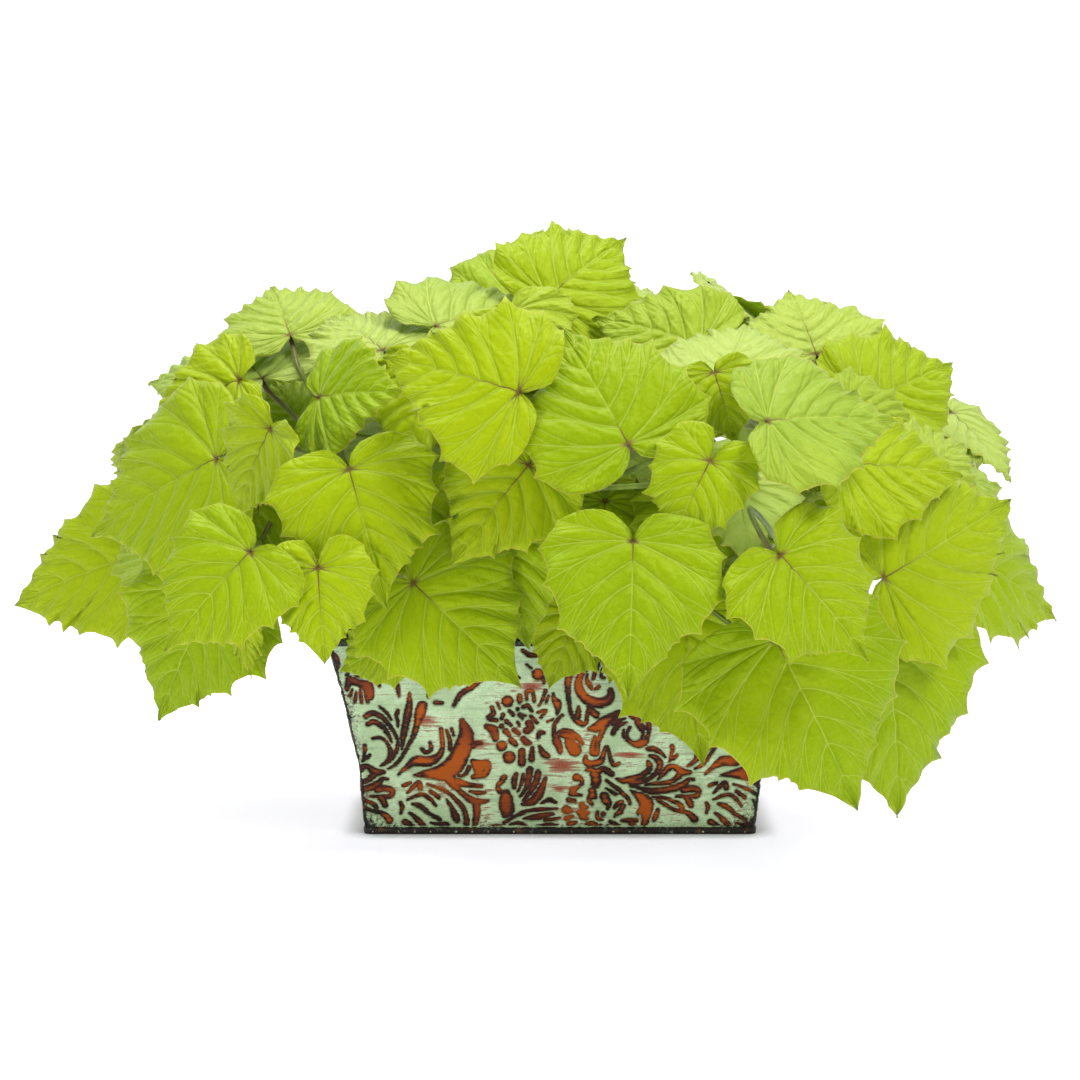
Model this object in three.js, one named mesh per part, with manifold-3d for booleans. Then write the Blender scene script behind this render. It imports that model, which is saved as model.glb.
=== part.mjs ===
// Sweet potato vine in a flared tin planter. Millimetres, +Z up, origin at the middle of the planter's
// underside, long side along X, front towards -Y.
import * as THREE from "three";
import loadSolids from "manifold-3d";

const Solids = await loadSolids();
Solids.setup();

// ---------------------------------------------------------------- driving dimensions
const PLANTER = { halfWidth: 136.5, halfDepth: 66, height: 140, sheet: 1.2, corner: 5 };
const FLARE = [[0, 0], [50, 5], [90, 12.5], [140, 24]]; // height, how far the walls lean out there
const HEM = { height: 4.4, proud: 0.9 }; // folded strip round the foot of the planter
const RIM = { height: 4, proud: 1.6 }; // rolled edge round its mouth
const SOIL = { top: 118, gap: 0.3 };
const HOLE = { depth: 40, clearance: 0.7, sides: 8 };
const STEM = { rootRadius: 3.6, tipRadius: 2.4, sides: 6, rings: [0, 0.2, 0.4, 0.55, 0.7, 0.85, 1] };
const STALK = { rootRadius: 1.7, tipRadius: 2, sides: 4, rings: [0, 0.25, 0.5, 0.75, 1], clearance: 1.3 };
const BLADE = { thick: 0.9, clearance: 4.5 };
const WAYS = { tries: 1500, first: 4, widest: 80, step: 4, perStem: 9, choices: 14, turn: 1.25 };
const CANOPY = { x: 335, y: 160, z: 205, centre: [0, 28, 180], layer: 24 };

// The front leaves are laid out on a view grid: columns to the right and rows down from the upper left
// corner, seen along sight lines from a point in front of the planter and a little above it.
const VIEW = { step: 0.7, centre: 540, footColumn: 560, footRow: 834, distance: 1800, elevation: 6 };

// Leaves seen from the front, from the back of the stack to its front: name, where the stalk meets the
// blade, where the tip is, and the way the face looks, as degrees to the right and degrees up.
// in: layers behind the canopy's surface. lobe, wide, fold, droop: multiples of the usual form. gap: multiple
// of the usual space left behind the leaf.
const FRONT_LEAVES = [
  ["crown_rear_left", [505, 305], [543, 227], -12, 40, { in: 1 }],
  ["crown_small", [612, 309], [651, 287], 20, 62, { in: 1 }],
  ["crown_yellow", [548, 297], [627, 237], 12, 34, {}],
  ["left_top_far", [225, 374], [147, 383], -25, 48, { in: 1 }],
  ["left_top_rear", [262, 378], [217, 336], -25, 58, {}],
  ["left_top_pale", [290, 335], [270, 284], -10, 52, { gap: 3, wide: 1.1 }],
  ["ridge_rear", [402, 340], [371, 311], 0, 58, { in: 1.5 }],
  ["ridge_pale", [382, 350], [328, 314], -5, 60, { in: 0.5 }],
  ["ridge_curled", [436, 326], [547, 301], 4, 58, { fold: 1.6 }],
  ["right_top_rear", [816, 354], [788, 289], 0, 48, { wide: 1.15 }],
  ["right_top_far", [868, 404], [954, 362], 20, 32, { in: 0.5 }],
  ["right_ridge", [700, 345], [591, 317], -10, 42, { in: 0.5 }],
  ["right_pale", [727, 385], [748, 321], 0, 58, {}],
  ["right_shoulder", [850, 405], [925, 432], 25, 42, {}],
  ["bud_pair_a", [702, 403], [693, 377], -30, 20, { in: 1 }],
  ["bud_pair_b", [727, 427], [711, 398], 10, 20, { in: 0.5 }],
  ["left_gap_fill", [302, 424], [271, 379], -15, 38, { in: 1.5 }],
  ["right_side_a", [930, 480], [1004, 486], 35, 45, { in: 1 }],
  ["right_side_b", [915, 470], [966, 443], 30, 45, { in: 1.5 }],
  ["right_tail", [962, 552], [1060, 620], 40, 22, { in: 0.5, wide: 0.8 }],
  ["right_low_edge", [882, 622], [898, 818], 25, 6, { in: 0.5 }],
  ["right_low_side", [884, 578], [1014, 498], 22, 16, { in: 0.3, wide: 0.85 }],
  ["middle_dark", [605, 501], [600, 578], 0, 28, { in: 2 }],
  ["inner_left", [432, 372], [398, 474], -8, 30, { in: 2.6 }],
  ["inner_right", [714, 372], [736, 448], 5, 25, { in: 3.4 }],
  ["inner_low", [690, 505], [672, 604], 5, 15, { in: 2.2 }],
  ["inner_top", [512, 312], [560, 392], 0, 40, { in: 2 }],
  ["middle_gap", [428, 488], [424, 606], -5, 10, { in: 2 }],
  ["left_gap", [260, 500], [250, 590], -15, 15, { in: 2 }],
  ["left_tail", [155, 548], [12, 605], -25, 18, { in: 0.3, wide: 0.78 }],
  ["left_curl", [178, 562], [119, 534], -15, 48, { in: 0.7 }],
  ["left_low", [213, 592], [158, 721], -18, 8, { in: 0.5 }],
  ["left_drip", [243, 618], [251, 678], -20, 0, { in: 1, wide: 0.6, gap: 2.5 }],
  ["lip_left", [395, 640], [339, 672], -8, 10, { in: 1 }],
  ["lip_right", [630, 606], [609, 684], 5, 10, { in: 1 }],
  ["lip_middle", [577, 612], [549, 689], 0, 5, { in: 1.2 }],
  ["lip_dark", [500, 535], [529, 650], -8, 5, { in: 1 }],
  ["right_dark", [772, 440], [812, 492], 10, 15, { in: 1.6, gap: 2 }],
  ["right_drop", [684, 612], [703, 767], -4, 8, { in: 0.3 }],
  ["right_low", [775, 640], [859, 812], 10, 10, {}],
  ["left_front_top", [239, 380], [146, 427], -20, 32, {}],
  ["left_front", [216, 459], [89, 537], -28, 25, {}],
  ["left_round", [319, 397], [406, 393], -38, 30, { wide: 1.2 }],
  ["left_folded", [270, 429], [238, 519], -42, 12, { fold: 2.5 }],
  ["middle_low", [413, 583], [522, 688], 0, 16, {}],
  ["middle_star", [529, 465], [450, 566], -4, 20, {}],
  ["middle_left", [349, 469], [387, 609], 0, 22, {}],
  ["middle_top", [628, 444], [558, 325], -4, 27, {}],
  ["middle_fan", [519, 392], [382, 357], -8, 25, {}],
  ["right_heart", [710, 461], [668, 545], 2, 25, { lobe: 1.9 }],
  ["middle_front", [633, 541], [628, 700], 3, 25, {}],
  ["right_fan", [842, 464], [964, 476], 14, 34, { gap: 1.6 }],
  ["right_front", [780, 555], [869, 662], 14, 22, {}],
  ["right_top", [768, 421], [900, 421], 8, 42, {}],
  ["left_heart", [318, 568], [325, 665], -5, 20, { lobe: 1.7, gap: 2.5 }],
  ["left_low_front", [250, 552], [164, 652], -8, 25, {}],
];

// Leaves on the far side, by rows: degrees above the canopy's widest line, how many, and the degrees round
// from its right end that the row leaves free at either end.
const REAR_ROWS = [
  { rise: 68, count: 3, free: 0 },
  { rise: 45, count: 6, free: 0 },
  { rise: 22, count: 8, free: 0 },
  { rise: 2, count: 8, free: 6 },
  { rise: -16, count: 3, free: 60 },
];
const REAR_LEAF = { length: 116, spread: 9, turn: 32, gap: 1.5, shell: [236, 144, 184] };

// Stems: roots in the soil and tips within the canopy, as x, y, z of the tip and how far along x and y its
// root stands from the middle.
const STEMS = [
  { root: [-118, -34], tip: [-236, -66, 232] },
  { root: [-78, -38], tip: [-150, -92, 262] },
  { root: [-40, -34], tip: [-78, -84, 282] },
  { root: [-4, -40], tip: [-8, -100, 240] },
  { root: [36, -34], tip: [52, -92, 286] },
  { root: [78, -38], tip: [128, -104, 262] },
  { root: [118, -34], tip: [214, -84, 240] },
  { root: [-122, 8], tip: [-262, 6, 214] },
  { root: [-60, 2], tip: [-132, -18, 316] },
  { root: [0, 0], tip: [6, -18, 326] },
  { root: [60, 2], tip: [118, -20, 322] },
  { root: [122, 8], tip: [256, 2, 220] },
  { root: [-98, 40], tip: [-178, 78, 236] },
  { root: [-34, 38], tip: [-66, 84, 262] },
  { root: [34, 38], tip: [66, 84, 262] },
  { root: [98, 40], tip: [178, 78, 236] },
];

// ---------------------------------------------------------------- leaf form
// Half of a blade's edge from the notch to the tip, in blade lengths: across, along.
const HALF_EDGE = [
  [0.24, -0.17], [0.47, -0.13], [0.6, 0.06], [0.52, 0.17], [0.57, 0.32],
  [0.44, 0.4], [0.43, 0.57], [0.27, 0.63], [0.1, 0.82],
];
const TEETH = [2, 4, 6]; // which of them are tooth tips
const MIDRIB = [[0, 0.3], [0, 0.62]];
const INNER = [0.28, 0.15];
// Faces of a half blade by letter: S notch, a to i edge, T tip, m n midrib, p inner point.
const HALF_FACES = "Sap abp bcd bdp def dfp fgh fhn pfn pnm Spm hin iTn".split(" ");
const FORM = { fold: 0.12, droop: 0.16, side: 0.24, wave: 0.02, tooth: 0.07 };
const USUAL = { in: 0, lobe: 1, wide: 1, fold: 1, droop: 1, gap: 1 };

// Repeatable draw from 0 to 1 for item i, number k.
function draw(i, k) {
  let state = (i * 7919 + k * 104729 + 12345) % 2147483647;
  for (let n = 0; n < 3; n++) state = (state * 16807) % 2147483647;
  return state / 2147483647;
}
const jitter = (i, k) => 2 * draw(i, k) - 1;
const vec = (x, y, z) => new THREE.Vector3(x, y, z);
const radians = THREE.MathUtils.degToRad;

// Height of a blade over its own plane at (across, along), in blade lengths.
function bladeHeight(leaf, x, y) {
  const ridge = FORM.fold * leaf.form.fold * (Math.hypot(x, 0.1) - 0.1);
  const tip = FORM.droop * leaf.form.droop * y * Math.abs(y);
  const flank = FORM.side * x * x;
  const turn = 9 * y + 4 * Math.abs(x) + 6.28 * draw(leaf.index, 40);
  return ridge - tip - flank + FORM.wave * Math.sin(turn) * Math.min(1, 2 * Math.abs(x));
}

// Point of a blade at (across, along), raised by lift millimetres over its upper face.
function bladePoint(leaf, x, y, lift = 0) {
  return leaf.at
    .clone()
    .addScaledVector(leaf.side, x * leaf.length)
    .addScaledVector(leaf.ahead, y * leaf.length)
    .addScaledVector(leaf.face, bladeHeight(leaf, x, y) * leaf.length + lift);
}

// One half's edge with this leaf's own teeth.
function halfEdge(leaf, hand) {
  return HALF_EDGE.map(([x, y], k) => {
    const own = FORM.tooth * jitter(leaf.index, k + (hand > 0 ? 0 : 20));
    const grow = TEETH.includes(k) ? 1 + own : 1;
    return [hand * x * grow * leaf.form.wide, y * (y < 0 ? leaf.form.lobe : grow)];
  });
}

// A blade's points in its own plane, its faces and its edge.
function bladeNet(leaf) {
  const points = [[0, 0], [0, 1], ...MIDRIB];
  const faces = [];
  const sides = [];
  for (const hand of [1, -1]) {
    const names = { S: 0, T: 1, m: 2, n: 3 };
    const side = halfEdge(leaf, hand).map((point, k) => {
      names["abcdefghi"[k]] = points.length;
      return points.push(point) - 1;
    });
    names.p = points.push([hand * INNER[0] * leaf.form.wide, INNER[1]]) - 1;
    for (const letters of HALF_FACES) {
      const [a, b, c] = [...letters].map((letter) => names[letter]);
      faces.push(hand > 0 ? [a, b, c] : [a, c, b]);
    }
    sides.push(side);
  }
  return { points, faces, edge: [0, ...sides[0], 1, ...sides[1].reverse()] };
}

// A blade as one closed thin solid: upper and under face alike, joined round the edge.
function bladeMesh(leaf) {
  const net = bladeNet(leaf);
  const count = net.points.length;
  const upper = net.points.map(([x, y]) => bladePoint(leaf, x, y));
  const under = net.points.map(([x, y]) => bladePoint(leaf, x, y, -BLADE.thick));
  const faces = [];
  for (const [a, b, c] of net.faces) faces.push([a, b, c], [a + count, c + count, b + count]);
  net.edge.forEach((a, k) => {
    const b = net.edge[(k + 1) % net.edge.length];
    faces.push([a, a + count, b + count], [a, b + count, b]);
  });
  return { points: [...upper, ...under], faces };
}

// ---------------------------------------------------------------- placing the leaves
const tilt = radians(VIEW.elevation);
const RIGHT = vec(1, 0, 0);
const UP = vec(0, Math.sin(tilt), Math.cos(tilt));
const AWAY = vec(0, Math.cos(tilt), -Math.sin(tilt));
const EYE = vec(0, -PLANTER.halfDepth, 0)
  .addScaledVector(RIGHT, (VIEW.centre - VIEW.footColumn) * VIEW.step)
  .addScaledVector(UP, (VIEW.footRow - VIEW.centre) * VIEW.step)
  .addScaledVector(AWAY, -VIEW.distance);

// Sight line through a grid point, as long as to the view plane.
function sightLine([column, row]) {
  return AWAY.clone()
    .multiplyScalar(VIEW.distance)
    .addScaledVector(RIGHT, (column - VIEW.centre) * VIEW.step)
    .addScaledVector(UP, (VIEW.centre - row) * VIEW.step);
}

// Share of a sight line at which it meets the canopy, or passes nearest its middle.
function canopyShare(line, layers) {
  const shrink = layers * CANOPY.layer;
  const size = vec(CANOPY.x - shrink, CANOPY.y - shrink, CANOPY.z - shrink);
  const from = EYE.clone().sub(vec(...CANOPY.centre)).divide(size);
  const along = line.clone().divide(size);
  const a = along.lengthSq();
  const b = from.dot(along);
  const under = b * b - a * (from.lengthSq() - 1);
  return (-b - Math.sqrt(Math.max(0, under))) / a;
}

function finishLeaf(leaf) {
  leaf.ahead.normalize();
  leaf.face.addScaledVector(leaf.ahead, -leaf.face.dot(leaf.ahead)).normalize();
  leaf.side = leaf.ahead.clone().cross(leaf.face);
  return leaf;
}

function frontLeaf([, stalk, tip, right, up, own], index) {
  const form = { ...USUAL, ...own };
  const [turn, rise] = [radians(right), radians(up)];
  const face = vec(Math.sin(turn) * Math.cos(rise), -Math.cos(turn) * Math.cos(rise), Math.sin(rise));
  const middle = sightLine([0.6 * stalk[0] + 0.4 * tip[0], 0.6 * stalk[1] + 0.4 * tip[1]]);
  const depth = middle.clone().multiplyScalar(canopyShare(middle, form.in)).dot(face);
  const reach = (point, drop) => {
    const line = sightLine(point);
    return EYE.clone().addScaledVector(line, (depth - drop) / line.dot(face));
  };
  const at = reach(stalk, 0);
  const drop = FORM.droop * form.droop * reach(tip, 0).distanceTo(at);
  const ahead = reach(tip, drop).sub(at).addScaledVector(face, drop);
  return finishLeaf({ index, form, at, ahead, face, length: ahead.length(), eye: EYE, front: true });
}

function rearLeaf(rise, turn, index) {
  const round = radians(turn + REAR_LEAF.spread * jitter(index, 50));
  const high = radians(rise + 6 * jitter(index, 51));
  const unit = vec(Math.cos(round) * Math.cos(high), Math.sin(round) * Math.cos(high), Math.sin(high));
  const shell = vec(...REAR_LEAF.shell);
  const centre = unit.clone().multiply(shell).add(vec(...CANOPY.centre));
  const out = unit.clone().divide(shell).normalize();
  const face = out.clone().multiplyScalar(0.8).add(vec(0, 0, 0.5)).normalize();
  const ahead = out.clone().multiplyScalar(0.4).add(vec(0, 0, -1));
  ahead.addScaledVector(face, -ahead.dot(face)).normalize();
  ahead.applyAxisAngle(face, radians(REAR_LEAF.turn * jitter(index, 52)));
  const length = REAR_LEAF.length * (1 + 0.14 * jitter(index, 53));
  const eye = centre.clone().addScaledVector(out, VIEW.distance);
  const at = centre.addScaledVector(ahead, -0.4 * length);
  const form = { ...USUAL, gap: REAR_LEAF.gap };
  return finishLeaf({ index, form, at, ahead, face, length, eye, front: false });
}

function rearLeaves(first) {
  const leaves = [];
  for (const { rise, count, free } of REAR_ROWS)
    for (let k = 0; k < count; k++) {
      const round = free + ((k + 0.5) / count) * (180 - 2 * free);
      leaves.push(rearLeaf(rise, round, first + leaves.length));
    }
  return leaves;
}

// ---------------------------------------------------------------- keeping leaves clear of each other
// Points as seen from an eye: right and up in the view, and nearness.
function seenFrom(eye, towards, points) {
  const depthAxis = towards.clone().sub(eye).normalize();
  const across = vec(depthAxis.y, -depthAxis.x, 0).normalize();
  const up = across.clone().cross(depthAxis);
  return points.map((point) => {
    const line = point.clone().sub(eye);
    const near = 1 / line.dot(depthAxis);
    return [line.dot(across) * near, line.dot(up) * near, near];
  });
}

// Nearness of a seen triangle at (x, y), or null outside it.
function nearnessAt([a, b, c], x, y) {
  const area = (b[0] - a[0]) * (c[1] - a[1]) - (c[0] - a[0]) * (b[1] - a[1]);
  if (Math.abs(area) < 1e-12) return null;
  const u = ((b[0] - x) * (c[1] - y) - (c[0] - x) * (b[1] - y)) / area;
  const v = ((c[0] - x) * (a[1] - y) - (a[0] - x) * (c[1] - y)) / area;
  const w = 1 - u - v;
  return u < 0 || v < 0 || w < 0 ? null : u * a[2] + v * b[2] + w * c[2];
}

function edgesOf(faces) {
  const edges = new Map();
  for (const face of faces)
    face.forEach((a, k) => {
      const b = face[(k + 1) % 3];
      edges.set(Math.min(a, b) * 1000 + Math.max(a, b), [a, b]);
    });
  return [...edges.values()];
}

// How many times nearer mesh k must come to lie wholly in front of mesh j, or may come wholly behind it.
function clearRange(k, j, eye, towards, gap) {
  const [seenK, seenJ] = [seenFrom(eye, towards, k.points), seenFrom(eye, towards, j.points)];
  for (const axis of [0, 1]) {
    const [alongK, alongJ] = [seenK.map((p) => p[axis]), seenJ.map((p) => p[axis])];
    if (Math.min(...alongK) > Math.max(...alongJ)) return null;
    if (Math.min(...alongJ) > Math.max(...alongK)) return null;
  }
  const range = { front: 0, behind: Infinity };
  const compare = (nearK, nearJ) => {
    range.front = Math.max(range.front, nearJ / nearK + gap * nearJ);
    range.behind = Math.min(range.behind, nearJ / nearK - gap * nearJ);
  };
  for (const face of j.faces) {
    const corners = face.map((i) => seenJ[i]);
    for (const p of seenK) {
      const near = nearnessAt(corners, p[0], p[1]);
      if (near !== null) compare(p[2], near);
    }
  }
  for (const face of k.faces) {
    const corners = face.map((i) => seenK[i]);
    for (const p of seenJ) {
      const near = nearnessAt(corners, p[0], p[1]);
      if (near !== null) compare(near, p[2]);
    }
  }
  for (const [a, b] of k.edges)
    for (const [c, d] of j.edges) {
      const [p, q, r, s] = [seenK[a], seenK[b], seenJ[c], seenJ[d]];
      const cross = (q[0] - p[0]) * (s[1] - r[1]) - (q[1] - p[1]) * (s[0] - r[0]);
      if (Math.abs(cross) < 1e-12) continue;
      const t = ((r[0] - p[0]) * (s[1] - r[1]) - (r[1] - p[1]) * (s[0] - r[0])) / cross;
      const u = ((r[0] - p[0]) * (q[1] - p[1]) - (r[1] - p[1]) * (q[0] - p[0])) / cross;
      if (t < 0 || t > 1 || u < 0 || u > 1) continue;
      compare(p[2] + t * (q[2] - p[2]), r[2] + u * (s[2] - r[2]));
    }
  return range.front ? range : null;
}

// The planter's outside, plainly: eight corners, four walls, its underside and its mouth.
function planterHull() {
  const points = [];
  for (const [height, lean] of [FLARE[0], FLARE[FLARE.length - 1]]) {
    const [x, y] = [PLANTER.halfWidth + lean + RIM.proud, PLANTER.halfDepth + lean + RIM.proud];
    points.push(vec(-x, -y, height), vec(x, -y, height), vec(x, y, height), vec(-x, y, height));
  }
  const walls = [0, 1, 2, 3].flatMap((a) => {
    const b = (a + 1) % 4;
    return [[a, b, b + 4], [a, b + 4, a + 4]];
  });
  const faces = [...walls, [0, 2, 1], [0, 3, 2], [4, 5, 6], [4, 6, 7]];
  return { points, faces, walls, edges: edgesOf(faces) };
}

// How squarely another leaf's face is seen along a leaf's own sight line, from 0 to 1.
function squareness(leaf, other) {
  return other.face ? Math.abs(leaf.at.clone().sub(leaf.eye).normalize().dot(other.face)) : 1;
}

// Brings each leaf nearer to its eye, or farther, until it clears the planter and those placed before it.
function settle(leaves) {
  const placed = [{ leaf: { front: true }, mesh: planterHull() }];
  for (const leaf of leaves) {
    const mesh = bladeMesh(leaf);
    mesh.edges = edgesOf(mesh.faces);
    const ranges = [];
    let least = 0;
    for (const other of placed) {
      const square = Math.max(0.4, Math.min(squareness(leaf, leaf), squareness(leaf, other.leaf)));
      const gap = (leaf.form.gap * BLADE.clearance) / square;
      const range = clearRange(mesh, other.mesh, leaf.eye, leaf.at, gap);
      if (!range) continue;
      if (leaf.front && other.leaf.front) least = Math.max(least, range.front);
      ranges.push(range);
    }
    const clears = (times) =>
      times >= least && ranges.every((range) => times > range.front - 1e-9 || times < range.behind + 1e-9);
    const stops = [1, ...ranges.flatMap((range) => [range.front, range.behind])].filter(clears);
    stops.sort((a, b) => Math.abs(a - 1) - Math.abs(b - 1));
    const nearer = (point) => point.sub(leaf.eye).divideScalar(stops[0]).add(leaf.eye);
    mesh.points.forEach(nearer);
    nearer(leaf.at);
    leaf.length /= stops[0];
    placed.push({ leaf, mesh });
  }
  return placed.slice(1);
}

// ---------------------------------------------------------------- stems and leaf stalks
// A thing that stems and stalks keep away from: triangles, half thickness, box, and whose it is.
function obstacle(triangles, half, owner) {
  return { triangles, half, box: new THREE.Box3().setFromPoints(triangles.flat()), owner };
}

// A line of points as very slim triangles.
function asLine(points) {
  return points.slice(1).map((point, k) => [points[k], point, point.clone().addScalar(0.01)]);
}

const nearest = vec(0, 0, 0);
const corners = new THREE.Triangle();
function isNear(triangle, point, reach) {
  corners.set(...triangle).closestPointToPoint(point, nearest);
  return nearest.distanceToSquared(point) < reach * reach;
}

// The obstacle that a tube through these points would touch, if any.
function touched(points, radius, obstacles) {
  return obstacles.find(({ triangles, half, box }) => {
    const reach = radius + half + STALK.clearance;
    const close = points.filter((point) => box.distanceToPoint(point) < reach);
    return close.some((point) => triangles.some((triangle) => isNear(triangle, point, reach)));
  });
}

// Points along a tube's own straight lengths, or nothing where it bends sharply.
function tubeLine(curve, rings) {
  const joints = rings.map((share) => curve.getPoint(share));
  const lengths = joints.slice(1).map((joint, k) => joint.clone().sub(joints[k]));
  for (let k = 1; k < lengths.length; k++) if (lengths[k].angleTo(lengths[k - 1]) > WAYS.turn) return null;
  return lengths.flatMap((length, k) => {
    const count = Math.ceil(length.length() / WAYS.step);
    const shares = Array.from({ length: count }, (_, n) => (n + 1) / count);
    return shares.map((share) => joints[k].clone().addScaledVector(length, share));
  });
}

const scatter = (i, k, size) => vec(jitter(i, k), jitter(i, k + 1), jitter(i, k + 2)).multiplyScalar(size);

// A bent way from a start to one of the ends that keeps clear, tried with ever wider bends.
function findWay(startOf, ends, { rings, rootRadius: radius }, obstacles, seed) {
  const order = [...obstacles];
  for (let tries = 0; tries < WAYS.tries; tries++) {
    const start = startOf(tries);
    const last = start[start.length - 1];
    const end = ends[tries % ends.length];
    const wide = WAYS.first + (WAYS.widest - WAYS.first) * (tries / WAYS.tries);
    const via = [0.33, 0.7].map((share, k) =>
      last.clone().lerp(end, share).add(scatter(seed, 4 * tries + 60 + 2 * k, wide)),
    );
    const curve = new THREE.CatmullRomCurve3([...start, ...via, end], false, "centripetal");
    const points = tubeLine(curve, rings);
    if (!points) continue;
    const block = touched(points, radius, order);
    if (!block) return { curve, points };
    order.splice(order.indexOf(block), 1);
    order.unshift(block);
  }
  return null;
}

// The stems, each from its hole in the soil up into the canopy.
function growStems(obstacles) {
  return STEMS.map(({ root, tip }, index) => {
    const foot = [0.3 - HOLE.depth, -12, 6].map((height) => vec(...root, SOIL.top + height));
    const ends = [1, 0.9, 0.8, 0.7, 0.6, 0.5].map((share) => foot[2].clone().lerp(vec(...tip), share));
    const way = findWay(() => foot, ends, STEM, obstacles, 1000 + index);
    obstacles.push(obstacle(asLine(way.points), STEM.rootRadius, index));
    return { index, way, leaves: [] };
  });
}

// The stalk of a leaf, from under its notch to a near spot on a stem.
function growStalk({ leaf, mesh }, stems, obstacles) {
  const notch = 0.01 + 2.2 / leaf.length;
  const top = bladePoint(leaf, 0, notch, -BLADE.thick / 2);
  const startOf = (tries) => {
    const [across, along, down] = [5000, 7000, 9000].map((k) => draw(leaf.index, tries + k));
    const knee = bladePoint(leaf, 0.2 * (across - 0.5), notch + 0.16 * (along - 0.6), -3.2 - 7 * down);
    return [top, knee];
  };
  const spots = [];
  for (const stem of stems) {
    if (stem.leaves.length >= WAYS.perStem) continue;
    for (const share of STEM.rings.slice(3)) {
      const spot = stem.way.curve.getPoint(share).addScaledVector(stem.way.curve.getTangent(share), -2);
      const climb = Math.max(0, spot.z - top.z + 20);
      spots.push({ spot, stem, cost: spot.distanceTo(top) + climb + 4 * stem.leaves.length });
    }
  }
  spots.sort((a, b) => a.cost - b.cost);
  for (const { spot, stem } of spots.slice(0, WAYS.choices)) {
    const others = obstacles.filter((thing) => thing.owner !== leaf && thing.owner !== stem.index);
    const way = findWay(startOf, [spot], STALK, others, leaf.index);
    if (!way) continue;
    stem.leaves.push({ leaf, mesh, way });
    obstacles.push(obstacle(asLine(way.points), STALK.rootRadius, stem.index));
    return;
  }
}

// Tube along a curve, closed at both ends, with a ring at each of the given shares of the curve.
function tubeMesh(curve, { rings, sides, rootRadius, tipRadius }, first) {
  const points = [];
  const faces = [];
  const normal = vec(0.31, 0.47, 0.83);
  for (const share of rings) {
    const radius = rootRadius + (tipRadius - rootRadius) * share;
    const centre = curve.getPoint(share);
    const along = first && share === 0 ? first.clone() : curve.getTangent(share);
    normal.addScaledVector(along, -normal.dot(along)).normalize();
    const across = along.clone().cross(normal);
    for (let k = 0; k < sides; k++) {
      const turn = (k / sides) * 2 * Math.PI;
      const point = centre.clone().addScaledVector(normal, radius * Math.cos(turn));
      points.push(point.addScaledVector(across, radius * Math.sin(turn)));
    }
  }
  const end = (rings.length - 1) * sides;
  for (let first = 0; first < end; first += sides)
    for (let k = 0; k < sides; k++) {
      const [a, b] = [first + k, first + ((k + 1) % sides)];
      faces.push([a, b, b + sides], [a, b + sides, a + sides]);
    }
  for (let k = 1; k < sides - 1; k++) faces.push([0, k + 1, k], [end, end + k, end + k + 1]);
  return { points, faces };
}

// ---------------------------------------------------------------- solids
function asSolid({ points, faces }) {
  const solid = new Solids.Mesh({
    numProp: 3,
    vertProperties: new Float32Array(points.flatMap((point) => [point.x, point.y, point.z])),
    triVerts: new Uint32Array(faces.flat()),
  });
  return new Solids.Manifold(solid);
}

function asPiece(name, solid, look) {
  const { vertProperties, triVerts } = solid.getMesh();
  const geometry = new THREE.BufferGeometry();
  geometry.setAttribute("position", new THREE.BufferAttribute(new Float32Array(vertProperties), 3));
  geometry.setIndex(new THREE.BufferAttribute(new Uint32Array(triVerts), 1));
  const flat = geometry.toNonIndexed();
  flat.computeVertexNormals();
  const piece = new THREE.Mesh(flat, new THREE.MeshStandardMaterial(look));
  piece.name = name;
  return piece;
}

// Outline of the planter at a height: a rectangle with rounded corners, grown outwards by extra.
function outline(height, extra) {
  const at = Math.min(height, PLANTER.height);
  const level = Math.max(1, FLARE.findIndex(([z]) => z >= at));
  const [lower, upper] = [FLARE[level - 1], FLARE[level]];
  const lean = lower[1] + ((upper[1] - lower[1]) * (at - lower[0])) / (upper[0] - lower[0]);
  const [x, y] = [PLANTER.halfWidth + lean + extra, PLANTER.halfDepth + lean + extra];
  const round = PLANTER.corner + extra;
  const corner = (centreX, centreY, from) =>
    [0, 45, 90].map((turn) => {
      const angle = radians(from + turn);
      return vec(centreX + round * Math.cos(angle), centreY + round * Math.sin(angle), height);
    });
  return [
    ...corner(x - round, y - round, 0),
    ...corner(round - x, y - round, 90),
    ...corner(round - x, round - y, 180),
    ...corner(x - round, round - y, 270),
  ];
}

// Solid through stacked outlines, given as height and extra.
function stack(levels) {
  const rings = levels.map(([height, extra]) => outline(height, extra));
  const count = rings[0].length;
  const points = rings.flat();
  const faces = [];
  for (let n = 0; n < rings.length - 1; n++)
    for (let k = 0; k < count; k++) {
      const [a, b] = [n * count + k, n * count + ((k + 1) % count)];
      faces.push([a, b, b + count], [a, b + count, a + count]);
    }
  const last = (rings.length - 1) * count;
  for (let k = 1; k < count - 1; k++) faces.push([0, k + 1, k], [last, last + k, last + k + 1]);
  return asSolid({ points, faces });
}

function buildPlanter() {
  const { height, sheet } = PLANTER;
  const shell = stack([
    [0, HEM.proud], [HEM.height, HEM.proud], [HEM.height + 1, 0], [50, 0], [90, 0],
    [height - RIM.height - 1, 0], [height - RIM.height, RIM.proud], [height, RIM.proud],
  ]);
  const inside = stack([[sheet, -sheet], [50, -sheet], [90, -sheet], [height, -sheet], [height + 5, -sheet]]);
  return shell.subtract(inside);
}

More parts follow.
